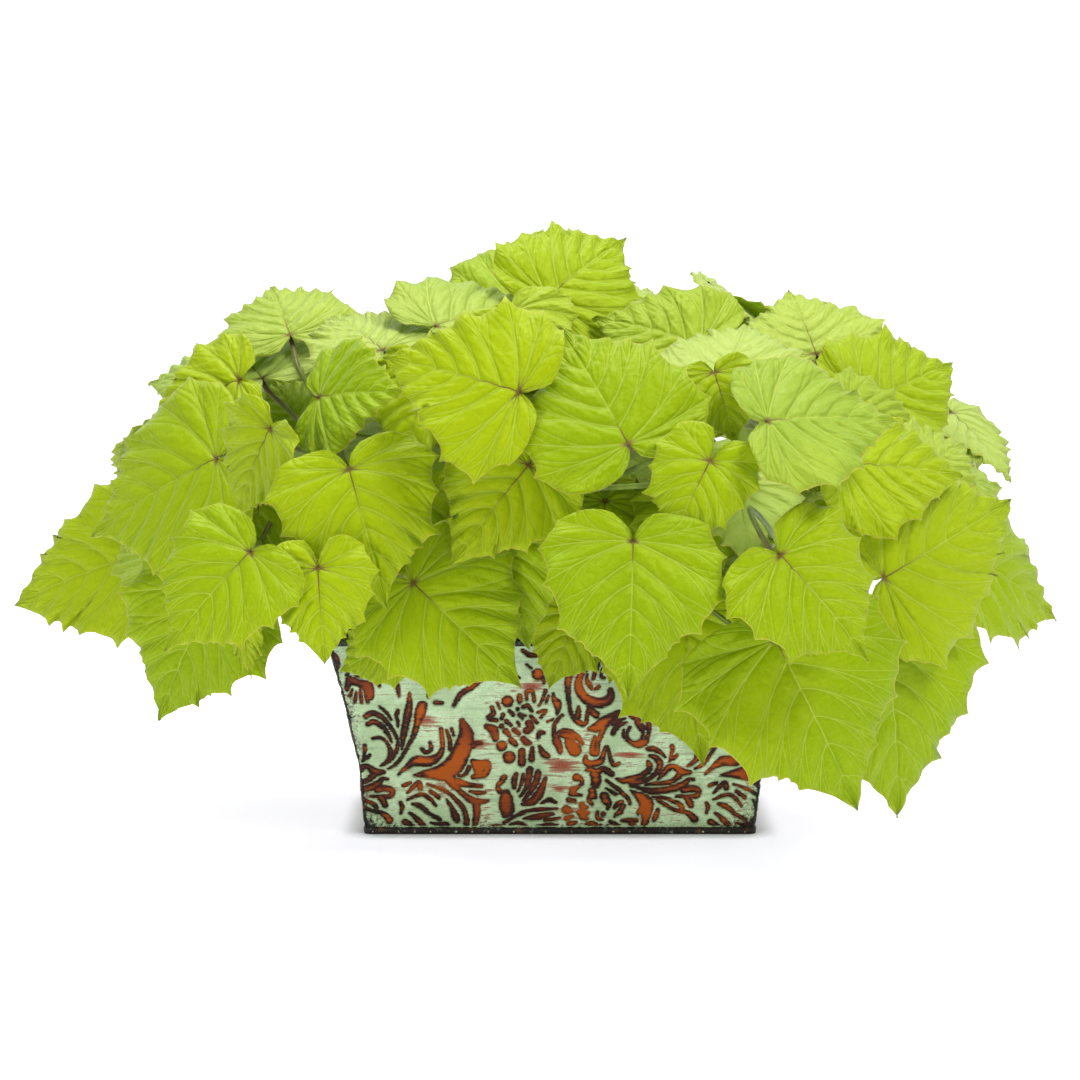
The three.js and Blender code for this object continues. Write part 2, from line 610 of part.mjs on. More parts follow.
function buildSoil() {
  const inset = -PLANTER.sheet - SOIL.gap;
  const floor = PLANTER.sheet + SOIL.gap;
  let soil = stack([[floor, inset], [50, inset], [90, inset], [SOIL.top, inset]]);
  for (const { root } of STEMS) {
    const radius = STEM.rootRadius + HOLE.clearance;
    const line = new THREE.LineCurve3(vec(...root, SOIL.top - HOLE.depth), vec(...root, SOIL.top + 5));
    const hole = tubeMesh(line, { rings: [0, 1], sides: HOLE.sides, rootRadius: radius, tipRadius: radius });
    soil = soil.subtract(asSolid(hole));
  }
  return soil;
}

const planter = buildPlanter();
const soil = buildSoil();
const front = FRONT_LEAVES.map(frontLeaf);
const placed = settle([...front, ...rearLeaves(front.length)]);
const hull = planterHull();
const atCorners = (mesh) => (face) => face.map((i) => mesh.points[i]);
const obstacles = [obstacle(hull.walls.map(atCorners(hull)), RIM.proud + PLANTER.sheet, "planter")];
for (const { leaf, mesh } of placed) {
  const upper = mesh.faces.slice(0, 4 * HALF_FACES.length).filter((face, k) => k % 2 === 0);
  obstacles.push(obstacle(upper.map(atCorners(mesh)), BLADE.thick, leaf));
}
const stems = growStems(obstacles);
const surface = outline(SOIL.top, 0);
obstacles.push(obstacle([2, 5, 8].map((k) => [surface[0], surface[k], surface[k + 3]]), 1, "soil"));
// A leaf of the far side whose stalk finds no clear way isn't grown.
for (const item of placed) growStalk(item, stems, obstacles);

const root = new THREE.Group();
root.name = "sweet_potato_vine_in_planter";
root.add(asPiece("tin_planter", planter, { color: 0x9fc4a0, roughness: 0.6, metalness: 0.2 }));
root.add(asPiece("potting_soil", soil, { color: 0x2b1d14, roughness: 1, metalness: 0 }));
for (const { index, way: trunk, leaves } of stems) {
  const parts = [asSolid(tubeMesh(trunk.curve, STEM))];
  for (const { leaf, mesh, way } of leaves) {
    parts.push(asSolid(tubeMesh(way.curve, STALK, leaf.face.clone().negate())), asSolid(mesh));
  }
  const vine = Solids.Manifold.union(parts);
  root.add(asPiece(`vine_${index + 1}`, vine, { color: 0xa8c414, roughness: 0.5, metalness: 0 }));
}
export default root;
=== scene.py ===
import math

import bpy
import numpy as np
from mathutils.kdtree import KDTree
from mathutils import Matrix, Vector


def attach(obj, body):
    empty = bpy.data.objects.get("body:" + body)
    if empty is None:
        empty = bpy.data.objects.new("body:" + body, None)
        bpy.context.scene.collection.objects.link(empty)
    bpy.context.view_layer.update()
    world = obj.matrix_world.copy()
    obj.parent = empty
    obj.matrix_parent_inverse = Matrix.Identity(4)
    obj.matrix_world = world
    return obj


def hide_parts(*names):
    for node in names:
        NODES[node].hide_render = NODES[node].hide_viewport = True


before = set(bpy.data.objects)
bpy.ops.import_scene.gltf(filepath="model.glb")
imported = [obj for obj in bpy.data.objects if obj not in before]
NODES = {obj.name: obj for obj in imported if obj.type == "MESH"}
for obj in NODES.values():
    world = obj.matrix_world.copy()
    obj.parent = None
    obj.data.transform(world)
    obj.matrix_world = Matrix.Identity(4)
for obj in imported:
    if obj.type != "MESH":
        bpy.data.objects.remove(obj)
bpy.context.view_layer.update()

MM = 0.001

# ---------------- sizes shared with the part's source, in mm
PLANTER = dict(half_width=136.5, half_depth=66, height=140, corner=5)
FLARE = [(0, 0), (50, 5), (90, 12.5), (140, 24)]  # height, how far the walls lean out there
HEM = dict(height=4.4, proud=0.9)
RIM_HEIGHT = 4
STUD = dict(apart=14, radius=0.8, height=1.9, sides=6, dome=[(-0.4, 1), (0.15, 1), (0.45, 0.5)])  # dome: out, width
SOIL_TOP = 118
BLADE_THICK = 0.9
CANOPY = dict(size=(335, 160, 205), centre=(0, 28, 180), layer=24)
VIEW = dict(step=0.7, centre=540, foot_column=560, foot_row=834, distance=1800, elevation=6)

# Leaves seen from the front, one a line: where the stalk meets the blade and where the tip is on the view grid, the
# way the face looks in degrees to the right and up, and multiples of the usual form.
FRONT_LEAVES = """
505,305 543,227 -12,40 inner=1
612,309 651,287 20,62 inner=1
548,297 627,237 12,34
225,374 147,383 -25,48 inner=1
262,378 217,336 -25,58
290,335 270,284 -10,52 wide=1.1
402,340 371,311 0,58 inner=1.5
382,350 328,314 -5,60 inner=0.5
436,326 547,301 4,58 fold=1.6
816,354 788,289 0,48 wide=1.15
868,404 954,362 20,32 inner=0.5
700,345 591,317 -10,42 inner=0.5
727,385 748,321 0,58
850,405 925,432 25,42
702,403 693,377 -30,20 inner=1
727,427 711,398 10,20 inner=0.5
302,424 271,379 -15,38 inner=1.5
930,480 1004,486 35,45 inner=1
915,470 966,443 30,45 inner=1.5
962,552 1060,620 40,22 inner=0.5 wide=0.8
882,622 898,818 25,6 inner=0.5
884,578 1014,498 22,16 inner=0.3 wide=0.85
605,501 600,578 0,28 inner=2
432,372 398,474 -8,30 inner=2.6
714,372 736,448 5,25 inner=3.4
690,505 672,604 5,15 inner=2.2
512,312 560,392 0,40 inner=2
428,488 424,606 -5,10 inner=2
260,500 250,590 -15,15 inner=2
155,548 12,605 -25,18 inner=0.3 wide=0.78
178,562 119,534 -15,48 inner=0.7
213,592 158,721 -18,8 inner=0.5
243,618 251,678 -20,0 inner=1 wide=0.6
395,640 339,672 -8,10 inner=1
630,606 609,684 5,10 inner=1
577,612 549,689 0,5 inner=1.2
500,535 529,650 -8,5 inner=1
772,440 812,492 10,15 inner=1.6
684,612 703,767 -4,8 inner=0.3
775,640 859,812 10,10
239,380 146,427 -20,32
216,459 89,537 -28,25
319,397 406,393 -38,30 wide=1.2
270,429 238,519 -42,12 fold=2.5
413,583 522,688 0,16
529,465 450,566 -4,20
349,469 387,609 0,22
628,444 558,325 -4,27
519,392 382,357 -8,25
710,461 668,545 2,25 lobe=1.9
633,541 628,700 3,25
842,464 964,476 14,34
780,555 869,662 14,22
768,421 900,421 8,42
318,568 325,665 -5,20 lobe=1.7
250,552 164,652 -8,25
"""
REAR_ROWS = [(68, 3, 0), (45, 6, 0), (22, 8, 0), (2, 8, 6), (-16, 3, 60)]  # rise, count, free degrees
REAR_LEAF = dict(length=116, longer=0.14, spread=9, rise=6, turn=32, shell=(236, 144, 184))
HALF_EDGE = [
    (0.24, -0.17), (0.47, -0.13), (0.6, 0.06), (0.52, 0.17), (0.57, 0.32),
    (0.44, 0.4), (0.43, 0.57), (0.27, 0.63), (0.1, 0.82),
]
TEETH = {2, 4, 6}
FORM = dict(fold=0.12, droop=0.16, side=0.24, wave=0.02, tooth=0.07)
USUAL = dict(inner=0, lobe=1, wide=1, fold=1, droop=1)
MIDDLE = 0.4  # how far along a blade its middle lies


def lines_of(text):
    """The lines of a text, each as a list of its words."""
    return [line.split() for line in text.split("\n") if line]


def numbers(words):
    """A row of numbers for each word such as 12,34."""
    return np.array([word.split(",") for word in words], float)


def draw(item, number):
    """Repeatable draw from 0 to 1."""
    state = (item * 7919 + number * 104729 + 12345) % 2147483647
    for _ in range(3):
        state = (state * 16807) % 2147483647
    return state / 2147483647


def jitter(item, number):
    return 2 * draw(item, number) - 1


def unit(vector):
    return vector / np.linalg.norm(vector)


def ease(value, start, end):
    """0 before start and 1 past end, smoothly."""
    t = np.clip((value - start) / (end - start), 0, 1)
    return t * t * (3 - 2 * t)


def turned(points, degrees):
    """Points turned about the vertical axis."""
    angle = math.radians(degrees)
    spin = np.array([[math.cos(angle), -math.sin(angle), 0], [math.sin(angle), math.cos(angle), 0], [0, 0, 1]])
    return points @ spin.T


def steps_of(table, value):
    """Value read off a table of (place, value) rows, straight between them."""
    return np.interp(value, *np.array(table).T)


# ---------------- where the leaves are
TILT = math.radians(VIEW["elevation"])
RIGHT = np.array([1, 0, 0])
UP = np.array([0, math.sin(TILT), math.cos(TILT)])
AWAY = np.array([0, math.cos(TILT), -math.sin(TILT)])
EYE = (
    np.array([0, -PLANTER["half_depth"], 0])
    + RIGHT * (VIEW["centre"] - VIEW["foot_column"]) * VIEW["step"]
    + UP * (VIEW["foot_row"] - VIEW["centre"]) * VIEW["step"]
    - AWAY * VIEW["distance"]
)


def sight_line(column, row):
    """Sight line through a point of the view grid, as long as to the view plane."""
    across = (column - VIEW["centre"]) * VIEW["step"]
    rise = (VIEW["centre"] - row) * VIEW["step"]
    return AWAY * VIEW["distance"] + RIGHT * across + UP * rise


def canopy_share(line, layers):
    """Share of a sight line at which it meets the canopy, or passes nearest its middle."""
    size = np.array(CANOPY["size"]) - layers * CANOPY["layer"]
    start = (EYE - CANOPY["centre"]) / size
    along = line / size
    a, b = along @ along, start @ along
    return (-b - math.sqrt(max(0, b * b - a * (start @ start - 1)))) / a


def finish_leaf(index, form, at, ahead, face, eye):
    length = np.linalg.norm(ahead)
    ahead = ahead / length
    face = unit(face - ahead * (face @ ahead))
    side = np.cross(ahead, face)
    return dict(index=index, form=form, at=at, ahead=ahead, face=face, side=side, length=length, eye=eye)


def front_leaf(index, words):
    form = {**USUAL, **{key: float(value) for key, value in (word.split("=") for word in words[3:])}}
    stalk, tip, angles = numbers(words[:3])
    turn, rise = np.radians(angles)
    face = np.array([math.sin(turn) * math.cos(rise), -math.cos(turn) * math.cos(rise), math.sin(rise)])
    middle = sight_line(*(0.6 * stalk + 0.4 * tip))
    depth = (middle * canopy_share(middle, form["inner"])) @ face

    def reach(point, drop):
        line = sight_line(*point)
        return EYE + line * (depth - drop) / (line @ face)

    at = reach(stalk, 0)
    drop = FORM["droop"] * form["droop"] * np.linalg.norm(reach(tip, 0) - at)
    return finish_leaf(index, form, at, reach(tip, drop) - at + face * drop, face, EYE)


def rear_leaf(index, rise, turn):
    around = math.radians(turn + REAR_LEAF["spread"] * jitter(index, 50))
    high = math.radians(rise + REAR_LEAF["rise"] * jitter(index, 51))
    on_ball = np.array([math.cos(around) * math.cos(high), math.sin(around) * math.cos(high), math.sin(high)])
    centre = on_ball * REAR_LEAF["shell"] + CANOPY["centre"]
    out = unit(on_ball / REAR_LEAF["shell"])
    face = unit(out * 0.8 + (0, 0, 0.5))
    ahead = out * 0.4 - (0, 0, 1)
    ahead = unit(ahead - face * (ahead @ face))
    swing = math.radians(REAR_LEAF["turn"] * jitter(index, 52))
    ahead = ahead * math.cos(swing) + np.cross(face, ahead) * math.sin(swing)
    length = REAR_LEAF["length"] * (1 + REAR_LEAF["longer"] * jitter(index, 53))
    eye = centre + out * VIEW["distance"]
    return finish_leaf(index, USUAL, centre - ahead * MIDDLE * length, ahead * length, face, eye)


def all_leaves():
    leaves = [front_leaf(index, words) for index, words in enumerate(lines_of(FRONT_LEAVES))]
    for rise, count, free in REAR_ROWS:
        for k in range(count):
            leaves.append(rear_leaf(len(leaves), rise, free + (k + 0.5) / count * (180 - 2 * free)))
    return leaves


def blade_height(leaf, x, y):
    """Height of a blade over its own plane at (across, along), in blade lengths."""
    form = leaf["form"]
    ridge = FORM["fold"] * form["fold"] * (np.hypot(x, 0.1) - 0.1)
    tip = FORM["droop"] * form["droop"] * y * np.abs(y)
    wave = np.sin(9 * y + 4 * np.abs(x) + 6.28 * draw(leaf["index"], 40)) * np.minimum(1, 2 * np.abs(x))
    return ridge - tip - FORM["side"] * x * x + FORM["wave"] * wave


def blade_points(leaf, x, y, lift=0):
    """Points of a blade at (across, along), raised by lift millimetres."""
    x, y = np.asarray(x, float)[..., None], np.asarray(y, float)[..., None]
    height = blade_height(leaf, x, y) * leaf["length"] + np.asarray(lift)[..., None]
    return leaf["at"] + (leaf["side"] * x + leaf["ahead"] * y) * leaf["length"] + leaf["face"] * height


def grown(leaf, x, y, tooth=None, hand=1):
    """A point of the usual half blade as it is on this leaf, with the growth of the tooth that it belongs to."""
    growth = 1
    if tooth is not None:
        growth += FORM["tooth"] * jitter(leaf["index"], tooth + (0 if hand > 0 else 20))
    return x * growth * leaf["form"]["wide"], y * (leaf["form"]["lobe"] if y < 0 else growth)


def coarse_points(leaf):
    """The corners of this leaf's blade in the solid: notch, tip, midrib, edges and inner points."""
    flat = [(0, 0), (0, 1), (0, 0.3), (0, 0.62)]
    for hand in (1, -1):
        for k, point in enumerate(HALF_EDGE):
            x, y = grown(leaf, *point, k if k in TEETH else None, hand)
            flat.append((hand * x, y))
        flat.append((hand * 0.28 * leaf["form"]["wide"], 0.15))
    x, y = np.array(flat).T
    return np.concatenate([blade_points(leaf, x, y), blade_points(leaf, x, y, -BLADE_THICK)])


def values_of(items, name, width, kind=np.float32):
    """One property of a mesh's items, a row for each."""
    values = np.zeros(len(items) * width, kind)
    items.foreach_get(name, values)
    return values.reshape(-1, width)


def node_points(name):
    return values_of(NODES[name].data.vertices, "co", 3).astype(float) / MM


MATCH = dict(near=0.05, corners=30)  # mm between a solid's corner and the form's, and how many of them prove a leaf


def find_leaf(leaf, solids):
    """Finds the vine that carries a leaf and how far along its sight line, and moves the leaf there."""
    corners = coarse_points(leaf) - leaf["eye"]
    ray = unit(corners[1])
    for name, points in solids.items():
        seen = points - leaf["eye"]
        aside = np.linalg.norm(np.cross(seen, ray), axis=1)
        for near in np.flatnonzero(aside < MATCH["near"]):
            share = (seen[near] @ ray) / np.linalg.norm(corners[1])
            gaps = np.linalg.norm(seen[:, None, :] - corners[None, :, :] * share, axis=2)
            if (gaps.min(axis=0) < MATCH["near"]).sum() > MATCH["corners"]:
                at = leaf["eye"] + (leaf["at"] - leaf["eye"]) * share
                own = np.flatnonzero(gaps.min(axis=1) < MATCH["near"])
                leaf.update(vine=name, at=at, length=leaf["length"] * share, corners=own)
                return True
    return False


# ---------------- meshes
FLIP = [0, 3, 2, 1]  # turns a face over


def quads(cells):
    """Faces of a grid of point numbers."""
    return np.stack([cells[:-1, :-1], cells[:-1, 1:], cells[1:, 1:], cells[1:, :-1]], -1).reshape(-1, 4)


def band(one, other):
    """Faces between two closed rings of point numbers."""
    return np.stack([one, np.roll(one, -1), np.roll(other, -1), other], 1)


def welded(points, faces):
    """Joins points that lie in one place and drops faces that fold to nothing; also says which were kept."""
    _, first, where = np.unique(np.round(points, 3), axis=0, return_index=True, return_inverse=True)
    joined = where.ravel()[faces]
    kept = (joined[:, 0] != joined[:, 1]) & (joined[:, 1] != joined[:, 2]) & (joined[:, 2] != joined[:, 0])
    return points[first], joined[kept], faces[kept], first


def new_piece(name, points, faces, smooth=True):
    """Mesh object from points in mm and faces."""
    mesh = bpy.data.meshes.new(name)
    mesh.from_pydata(points * MM, [], faces)
    mesh.polygons.foreach_set("use_smooth", np.full(len(mesh.polygons), smooth))
    mesh.update()
    piece = bpy.data.objects.new(name, mesh)
    bpy.context.scene.collection.objects.link(piece)
    return piece


def set_values(mesh, name, values):
    mesh.attributes.new(name, "FLOAT", "POINT").data.foreach_set("value", np.asarray(values, np.float32))


# ---------------- leaf blades
# Arcs of half a blade's edge: first and last ray number, its start, a point that it bends towards, and its end, in
# blade lengths across and along. A number after a point is the tooth whose growth it shares.
EDGE_ARCS = [
    (0, 1, (0, 0), (0.012, -0.11), (0.13, -0.18)),
    (1, 2, (0.13, -0.18), (0.33, -0.22), (0.475, -0.13)),
    (2, 3, (0.475, -0.13), (0.52, -0.03), (0.6, 0.06, 2)),
    (3, 4, (0.6, 0.06, 2), (0.465, 0.15), (0.57, 0.32, 4)),
    (4, 5, (0.57, 0.32, 4), (0.385, 0.36), (0.43, 0.57, 6)),
    (5, 7, (0.43, 0.57, 6), (0.235, 0.59), (0.225, 0.735)),
    (7, 10, (0.225, 0.735), (0.055, 0.8), (0, 1)),
]
RAY_STEPS = [4, 6, 8, 9, 9, 7, 6, 4, 3, 3]  # mesh rows between one ray and the next
RAY_ROOTS = [(4, 0), (5, 0.13), (6, 0.28), (7, 0.44), (8, 0.6), (9, 0.78), (10, 1)]  # where rays leave the midrib
RAY_SAG = [(0, 0), (2, 0), (4, 0.03), (6, 0.055), (8, 0.04), (10, 0)]
TOOTH_GROWTH = [(1.4, 0), (2, 0.015), (3, 0.02), (4, 0.025), (5, 0.03), (6, 0.035), (7, 0.025), (7.6, 0)]
SMALL_TOOTH = 0.02  # most that a tooth between two rays stands out
TOOTH_POINT = 2.6  # how pointed teeth are
RINGS = 11
SHEET = 0.4  # a blade's real thickness, mm
PUCKER = dict(between=1.7, ripple=0.55, edge=2.0, rib=0.5)  # heights in mm
PUCKER_SIZE = dict(full=14, ripples=8, edge_waves=0.83, rib=1.3)  # full: mm between rays for the full height


def edge_point(leaf, hand, ray):
    for first, last, *points in EDGE_ARCS:
        if ray <= last:
            break
    share = (ray - first) / (last - first)
    start, bend, end = (np.array(grown(leaf, *point, hand=hand)) for point in points)
    seed, side = leaf["index"], 0 if hand > 0 else 10
    middle = (start + end) / 2
    shallow = 1 if first < 3 else 0.5 + 0.35 * jitter(seed, 80 + first + side)
    bend = middle + (bend - middle) * shallow
    point = start * (1 - share) ** 2 + bend * 2 * share * (1 - share) + end * share**2
    tooth = steps_of(TOOTH_GROWTH, ray) * (1 + 0.6 * jitter(seed, 63 + round(ray) + side))
    tooth *= (1 - abs(math.sin(math.pi * ray))) ** TOOTH_POINT
    if 2 < ray < 7:
        tooth += SMALL_TOOTH * draw(seed, 95 + int(ray) + side) * (1 - abs(math.cos(math.pi * ray))) ** TOOTH_POINT
    return point + (tooth, tooth * 0.4)


def leaf_mesh(leaf):
    """Fine blade: points, triangles, and per point its ray, ring, across, along and the gap between rays."""
    coarser = 2 if "root" in leaf else 1
    rows = [math.ceil(steps / coarser) for steps in RAY_STEPS]
    rays = np.concatenate([[0.0]] + [n + np.arange(1, steps + 1) / steps for n, steps in enumerate(rows)])
    rings = np.linspace(0, 1, RINGS // coarser + 1)
    roots, sags = steps_of(RAY_ROOTS, rays)[:, None], steps_of(RAY_SAG, rays)[:, None]
    ray, ring = np.meshgrid(rays, rings, indexing="ij")
    between = np.abs(np.sin(np.pi * ray)) ** 0.9
    points, facts = [], []
    seed = leaf["index"]
    for hand in (1, -1):
        edge = np.array([edge_point(leaf, hand, number) for number in rays])
        x = edge[:, :1] * rings
        y = roots + (edge[:, 1:] - roots) * rings - 4 * sags * rings * (1 - rings)
        span = np.hypot(np.gradient(x, rays, axis=0), np.gradient(y, rays, axis=0)) * leaf["length"]
        swell = np.minimum(span / PUCKER_SIZE["full"], 1) * between
        ripple = np.sin(2 * np.pi * (PUCKER_SIZE["ripples"] * ring + 0.5 * np.cos(2 * np.pi * ray) + draw(seed, 61)))
        edge_wave = np.sin(2 * np.pi * (PUCKER_SIZE["edge_waves"] * ray + draw(seed, 62) + 0.3 * hand))
        pucker = PUCKER["between"] * swell * (1 - ring**3)
        pucker += PUCKER["ripple"] * swell * ripple
        pucker += PUCKER["edge"] * ring**3 * edge_wave
        pucker -= PUCKER["rib"] * np.exp(-((x * leaf["length"] / PUCKER_SIZE["rib"]) ** 2))
        for lift in (0, -SHEET):
            points.append(blade_points(leaf, hand * x, y, pucker + lift).reshape(-1, 3))
            facts.append(np.stack([ray, ring, hand * x, y, span], axis=-1).reshape(-1, 5))
    low = ray.size
    grid = np.arange(low).reshape(ray.shape)
    cells = quads(grid)
    top = np.concatenate([cells[:, [0, 1, 2]], cells[:, [0, 2, 3]]])
    rim, next_rim = grid[:-1, -1], grid[1:, -1]
    wall = [np.stack([rim, rim + low, next_rim + low], 1), np.stack([rim, next_rim + low, next_rim], 1)]
    half = np.concatenate([top, top[:, ::-1] + low, *wall])
    return np.concatenate(points), np.concatenate([half, half[:, ::-1] + 2 * low]), np.concatenate(facts)


# ---------------- stems and stalks
STEM_SWELL = 0.5  # mm that rounding takes off a stalk, put back


def stalks_of(name, leaves):
    """The solid's stem and stalks without its blades, rounded: points and triangles in mm."""
    source = NODES[name].data
    source.calc_loop_triangles()
    points = node_points(name)
    is_blade = np.zeros(len(points), bool)
    for leaf in leaves:
        is_blade[leaf["corners"]] = True
    points, triangles, _, first = welded(points, values_of(source.loop_triangles, "vertices", 3, np.int32))
    bare = new_piece("bare_stalks", points, triangles[~is_blade[first][triangles].any(axis=1)])
    rounding = bare.modifiers.new("rounding", "SUBSURF")
    rounding.levels = rounding.render_levels = 2
    result = bpy.data.meshes.new_from_object(bare.evaluated_get(bpy.context.evaluated_depsgraph_get()))
    result.calc_loop_triangles()
    bpy.data.objects.remove(bare)
    out = values_of(result.vertices, "co", 3) / MM + values_of(result.vertex_normals, "vector", 3) * STEM_SWELL
    return out.astype(float), values_of(result.loop_triangles, "vertices", 3, np.int32)


# ---------------- materials
class Term:
    """An output of a material's nodes that the usual signs work on."""

    def __init__(self, look, socket):
        self.look, self.socket = look, socket

    def __add__(self, other):
        return self.look.math("ADD", self, other)

    def __mul__(self, other):
        return self.look.math("MULTIPLY", self, other)

    def __sub__(self, other):
        return self.look.math("SUBTRACT", self, other)

    def __rsub__(self, other):
        return self.look.math("SUBTRACT", other, self)

    __radd__, __rmul__ = __add__, __mul__


class Look:
    """The nodes of one material, or of the world, made with short calls."""

    def __init__(self, name, family=bpy.data.materials):
        self.owner = family.new(name)
        self.owner.use_nodes = True
        self.tree = self.owner.node_tree
        self.tree.nodes.clear()

    def node(self, kind, inputs, output=0, **settings):
        node = self.tree.nodes.new("ShaderNode" + kind)
        for key, value in settings.items():
            setattr(node, key, value)
        for key, value in inputs.items():
            if isinstance(value, Term):
                self.tree.links.new(value.socket, node.inputs[key])
            else:
                node.inputs[key].default_value = value
        return Term(self, node.outputs[output]) if node.outputs else None

    def math(self, operation, *values):
        return self.node("Math", dict(enumerate(values)), operation=operation)

    def most(self, first, *others):
        for other in others:
            first = self.math("MAXIMUM", first, other)
        return first

    def size(self, value):
        return self.math("ABSOLUTE", value)

    def step(self, value, start, end):
        """0 before start and 1 past end, smoothly; the other way round where start is the larger."""
        inputs = {"Value": value, "From Min": start, "From Max": end}
        return self.node("MapRange", inputs, interpolation_type="SMOOTHSTEP")

    def mix(self, share, first, second, blend="MIX"):
        return self.node("Mix", {0: share, 6: first, 7: second}, 2, data_type="RGBA", blend_type=blend)

    def noise(self, vector, scale, detail=2, rough=0.5):
        return self.node("TexNoise", {"Vector": vector, "Scale": scale, "Detail": detail, "Roughness": rough})

    def stretched(self, vector, scale):
        return self.node("Mapping", {"Vector": vector, "Scale": scale})

    def cells(self, vector, scale):
        """Distance from the edges of irregular cells."""
        return self.node("TexVoronoi", {"Vector": vector, "Scale": scale}, feature="DISTANCE_TO_EDGE")

    def value(self, name):
        return self.node("Attribute", {}, "Fac", attribute_name=name)

    def uv(self, name):
        both = self.node("UVMap", {}, uv_map=name)
        return [self.node("SeparateXYZ", {0: both}, output) for output in (0, 1)]

    def place(self):
        return self.node("TexCoord", {}, "Object")

    def bump(self, height, strength, distance):
        return self.node("Bump", {"Strength": strength, "Distance": distance, "Height": height})

    def coat(self, colour, roughness, **more):
        more = {key.replace("_", " "): value for key, value in more.items()}
        return self.node("BsdfPrincipled", {"Base Color": colour, "Roughness": roughness, **more})

    def finish(self, shader, output="OutputMaterial"):
        self.node(output, {"Surface": shader})
        return self.owner


def linear(red, green, blue):
    """A screen colour, 0 to 255, as the light that a shader takes."""
    shares = (red / 255, green / 255, blue / 255)
    return (*(c / 12.92 if c <= 0.04045 else ((c + 0.055) / 1.055) ** 2.4 for c in shares), 1)


def leaf_look():
    look = Look("lime_leaf")
    step, mix, place = look.step, look.mix, look.place()
    (ray, ring), (across, along) = look.uv("net"), look.uv("flat")
    length, span, tone = look.value("length"), look.value("span"), look.value("tone")
    aside, blade = look.size(across), step(along, -0.01, 0.0)
    # Veins: the midrib, one along each whole ray, branches that leave them, and a fine net between.
    near = look.math("PINGPONG", ray, 0.5)
    strong = step(look.size(ray - 3.5), 1.0, 0.6)
    broad = (1.0 - ring * 0.6) * (strong * 0.3 + 0.62)
    ray_gap = near * span
    rays = step(ray_gap, broad, broad * 0.3)
    rib_width = 0.75 - along * 0.5
    rib_gap = aside * length
    rib = step(rib_gap, rib_width, rib_width * 0.4) * blade
    branches, troughs = [], [step(ray_gap, 3.0, 0.2), step(rib_gap, 3.4, 0.2) * blade]
    for start, width in ((0.25, 0.5), (0.6, 0.42)):
        gap = look.size(near - step(ring, start, 1.35) * 0.62) * span
        grown_in = step(ring, start, start + 0.1)
        branches.append(step(gap, width, width * 0.3) * grown_in)
        troughs.append(step(gap, 2.2, 0.2) * grown_in * 0.7)
    trough = look.most(*troughs)
    mesh = look.cells(place, 135)
    veins = look.most(rays, rib, look.most(*branches) * 0.6, step(mesh, 0.08, 0.01) * 0.12)
    # Purple where the stalk meets the blade, and along the first part of the midrib and side veins.
    far = look.math("SQRT", look.math("POWER", aside, 2.0) + look.math("POWER", look.size(along), 2.0)) * length
    flush, short = step(far, tone * 48.0 + 18.0, 2.0), step(far, tone * 12.0 + 4.0, 1.0)
    purple = look.most(step(far, 3.4, 0.8), flush * rib, short * rays)
    # Blade: lime, yellower on some leaves and in patches, paler where it faces the sky as a painted sheen, darker
    # green beside the veins as painted shade, browned on the very edge.
    lime = mix(step(tone, 0.0, 1.0), linear(136, 168, 0), linear(168, 190, 0))
    lime = mix(step(look.noise(place, 14, 3), 0.35, 0.7) * 0.5, lime, linear(166, 188, 0))
    # Painted sheen: leaves that face the sky are painted paler, as if they reflected the light above.
    lime = mix(look.value("painted_sheen") * 0.8, lime, linear(190, 210, 134))
    lime = mix(step(look.noise(place, 700, 2), 0.5, 0.75) * 0.22, lime, linear(206, 222, 30))
    # Painted shade: darker green in the grooves beside the veins.
    lime = mix(trough * 0.24, lime, linear(112, 148, 0))
    colour = mix(veins * 0.42, lime, linear(212, 224, 104))
    colour = mix(step(ring, 0.985, 1.0), colour, linear(196, 190, 70))
    colour = mix(purple * 0.85, colour, linear(92, 42, 40))
    glow = mix(veins * 0.4, linear(206, 228, 4), linear(220, 230, 60))
    glow = mix(purple * 0.8, glow, linear(120, 60, 40))
    # Relief: sunken veins, small quilting between them.
    quilt = step(mesh, 0.0, 0.4) * 0.5 + look.noise(place, 300, 3) * 0.6
    bump = look.bump(quilt - trough * 1.0, 0.5, 0.001)
    gloss = dict(Specular_IOR_Level=0.5, Specular_Tint=(1, 1, 0.2, 1), Sheen_Weight=0.2, Sheen_Roughness=0.35)
    skin = look.coat(colour, 0.5, Normal=bump, **gloss)
    through = look.node("BsdfTranslucent", {"Color": glow, "Normal": bump})
    return look.finish(look.node("MixShader", {0: 0.25, 1: skin, 2: through}))


def stalk_look():
    look = Look("green_stalk")
    place = look.place()
    colour = look.mix(look.step(look.noise(place, 60, 3), 0.3, 0.7), linear(92, 112, 26), linear(126, 150, 44))
    colour = look.mix(look.value("purple") * 0.85, colour, linear(98, 56, 50))
    return look.finish(look.coat(colour, 0.48, Normal=look.bump(look.noise(place, 900, 3), 0.25, 0.0004)))


# ---------------- the vines
YOUNG = dict(count=40, height=(165, 350), inside=0.85, stalk=(22, 60), length=(46, 78), clear=8, apart=34, tries=4)
YOUNG.update(swing=70, lean=0.45, droop=0.15, first_index=200)
YOUNG_STALK = dict(sides=8, steps=7, root=1.3, narrowing=0.4, bend=5)  # mm
PROBES = [(0, 0.45), (0, 1), (0.5, 0.1), (-0.5, 0.1), (0.42, 0.5), (-0.42, 0.5), (0.3, -0.15), (-0.3, -0.15)]
EVERY = dict(blade=9, stalk=3, root=23)  # how few of the points are tried in the search for room
PURPLE_REACH = 45  # mm of a stalk, from its leaf, over which its purple fades
PAINTED_SHEEN = dict(starts=0.55, full=0.9, least=0.35)  # by how far up a leaf faces


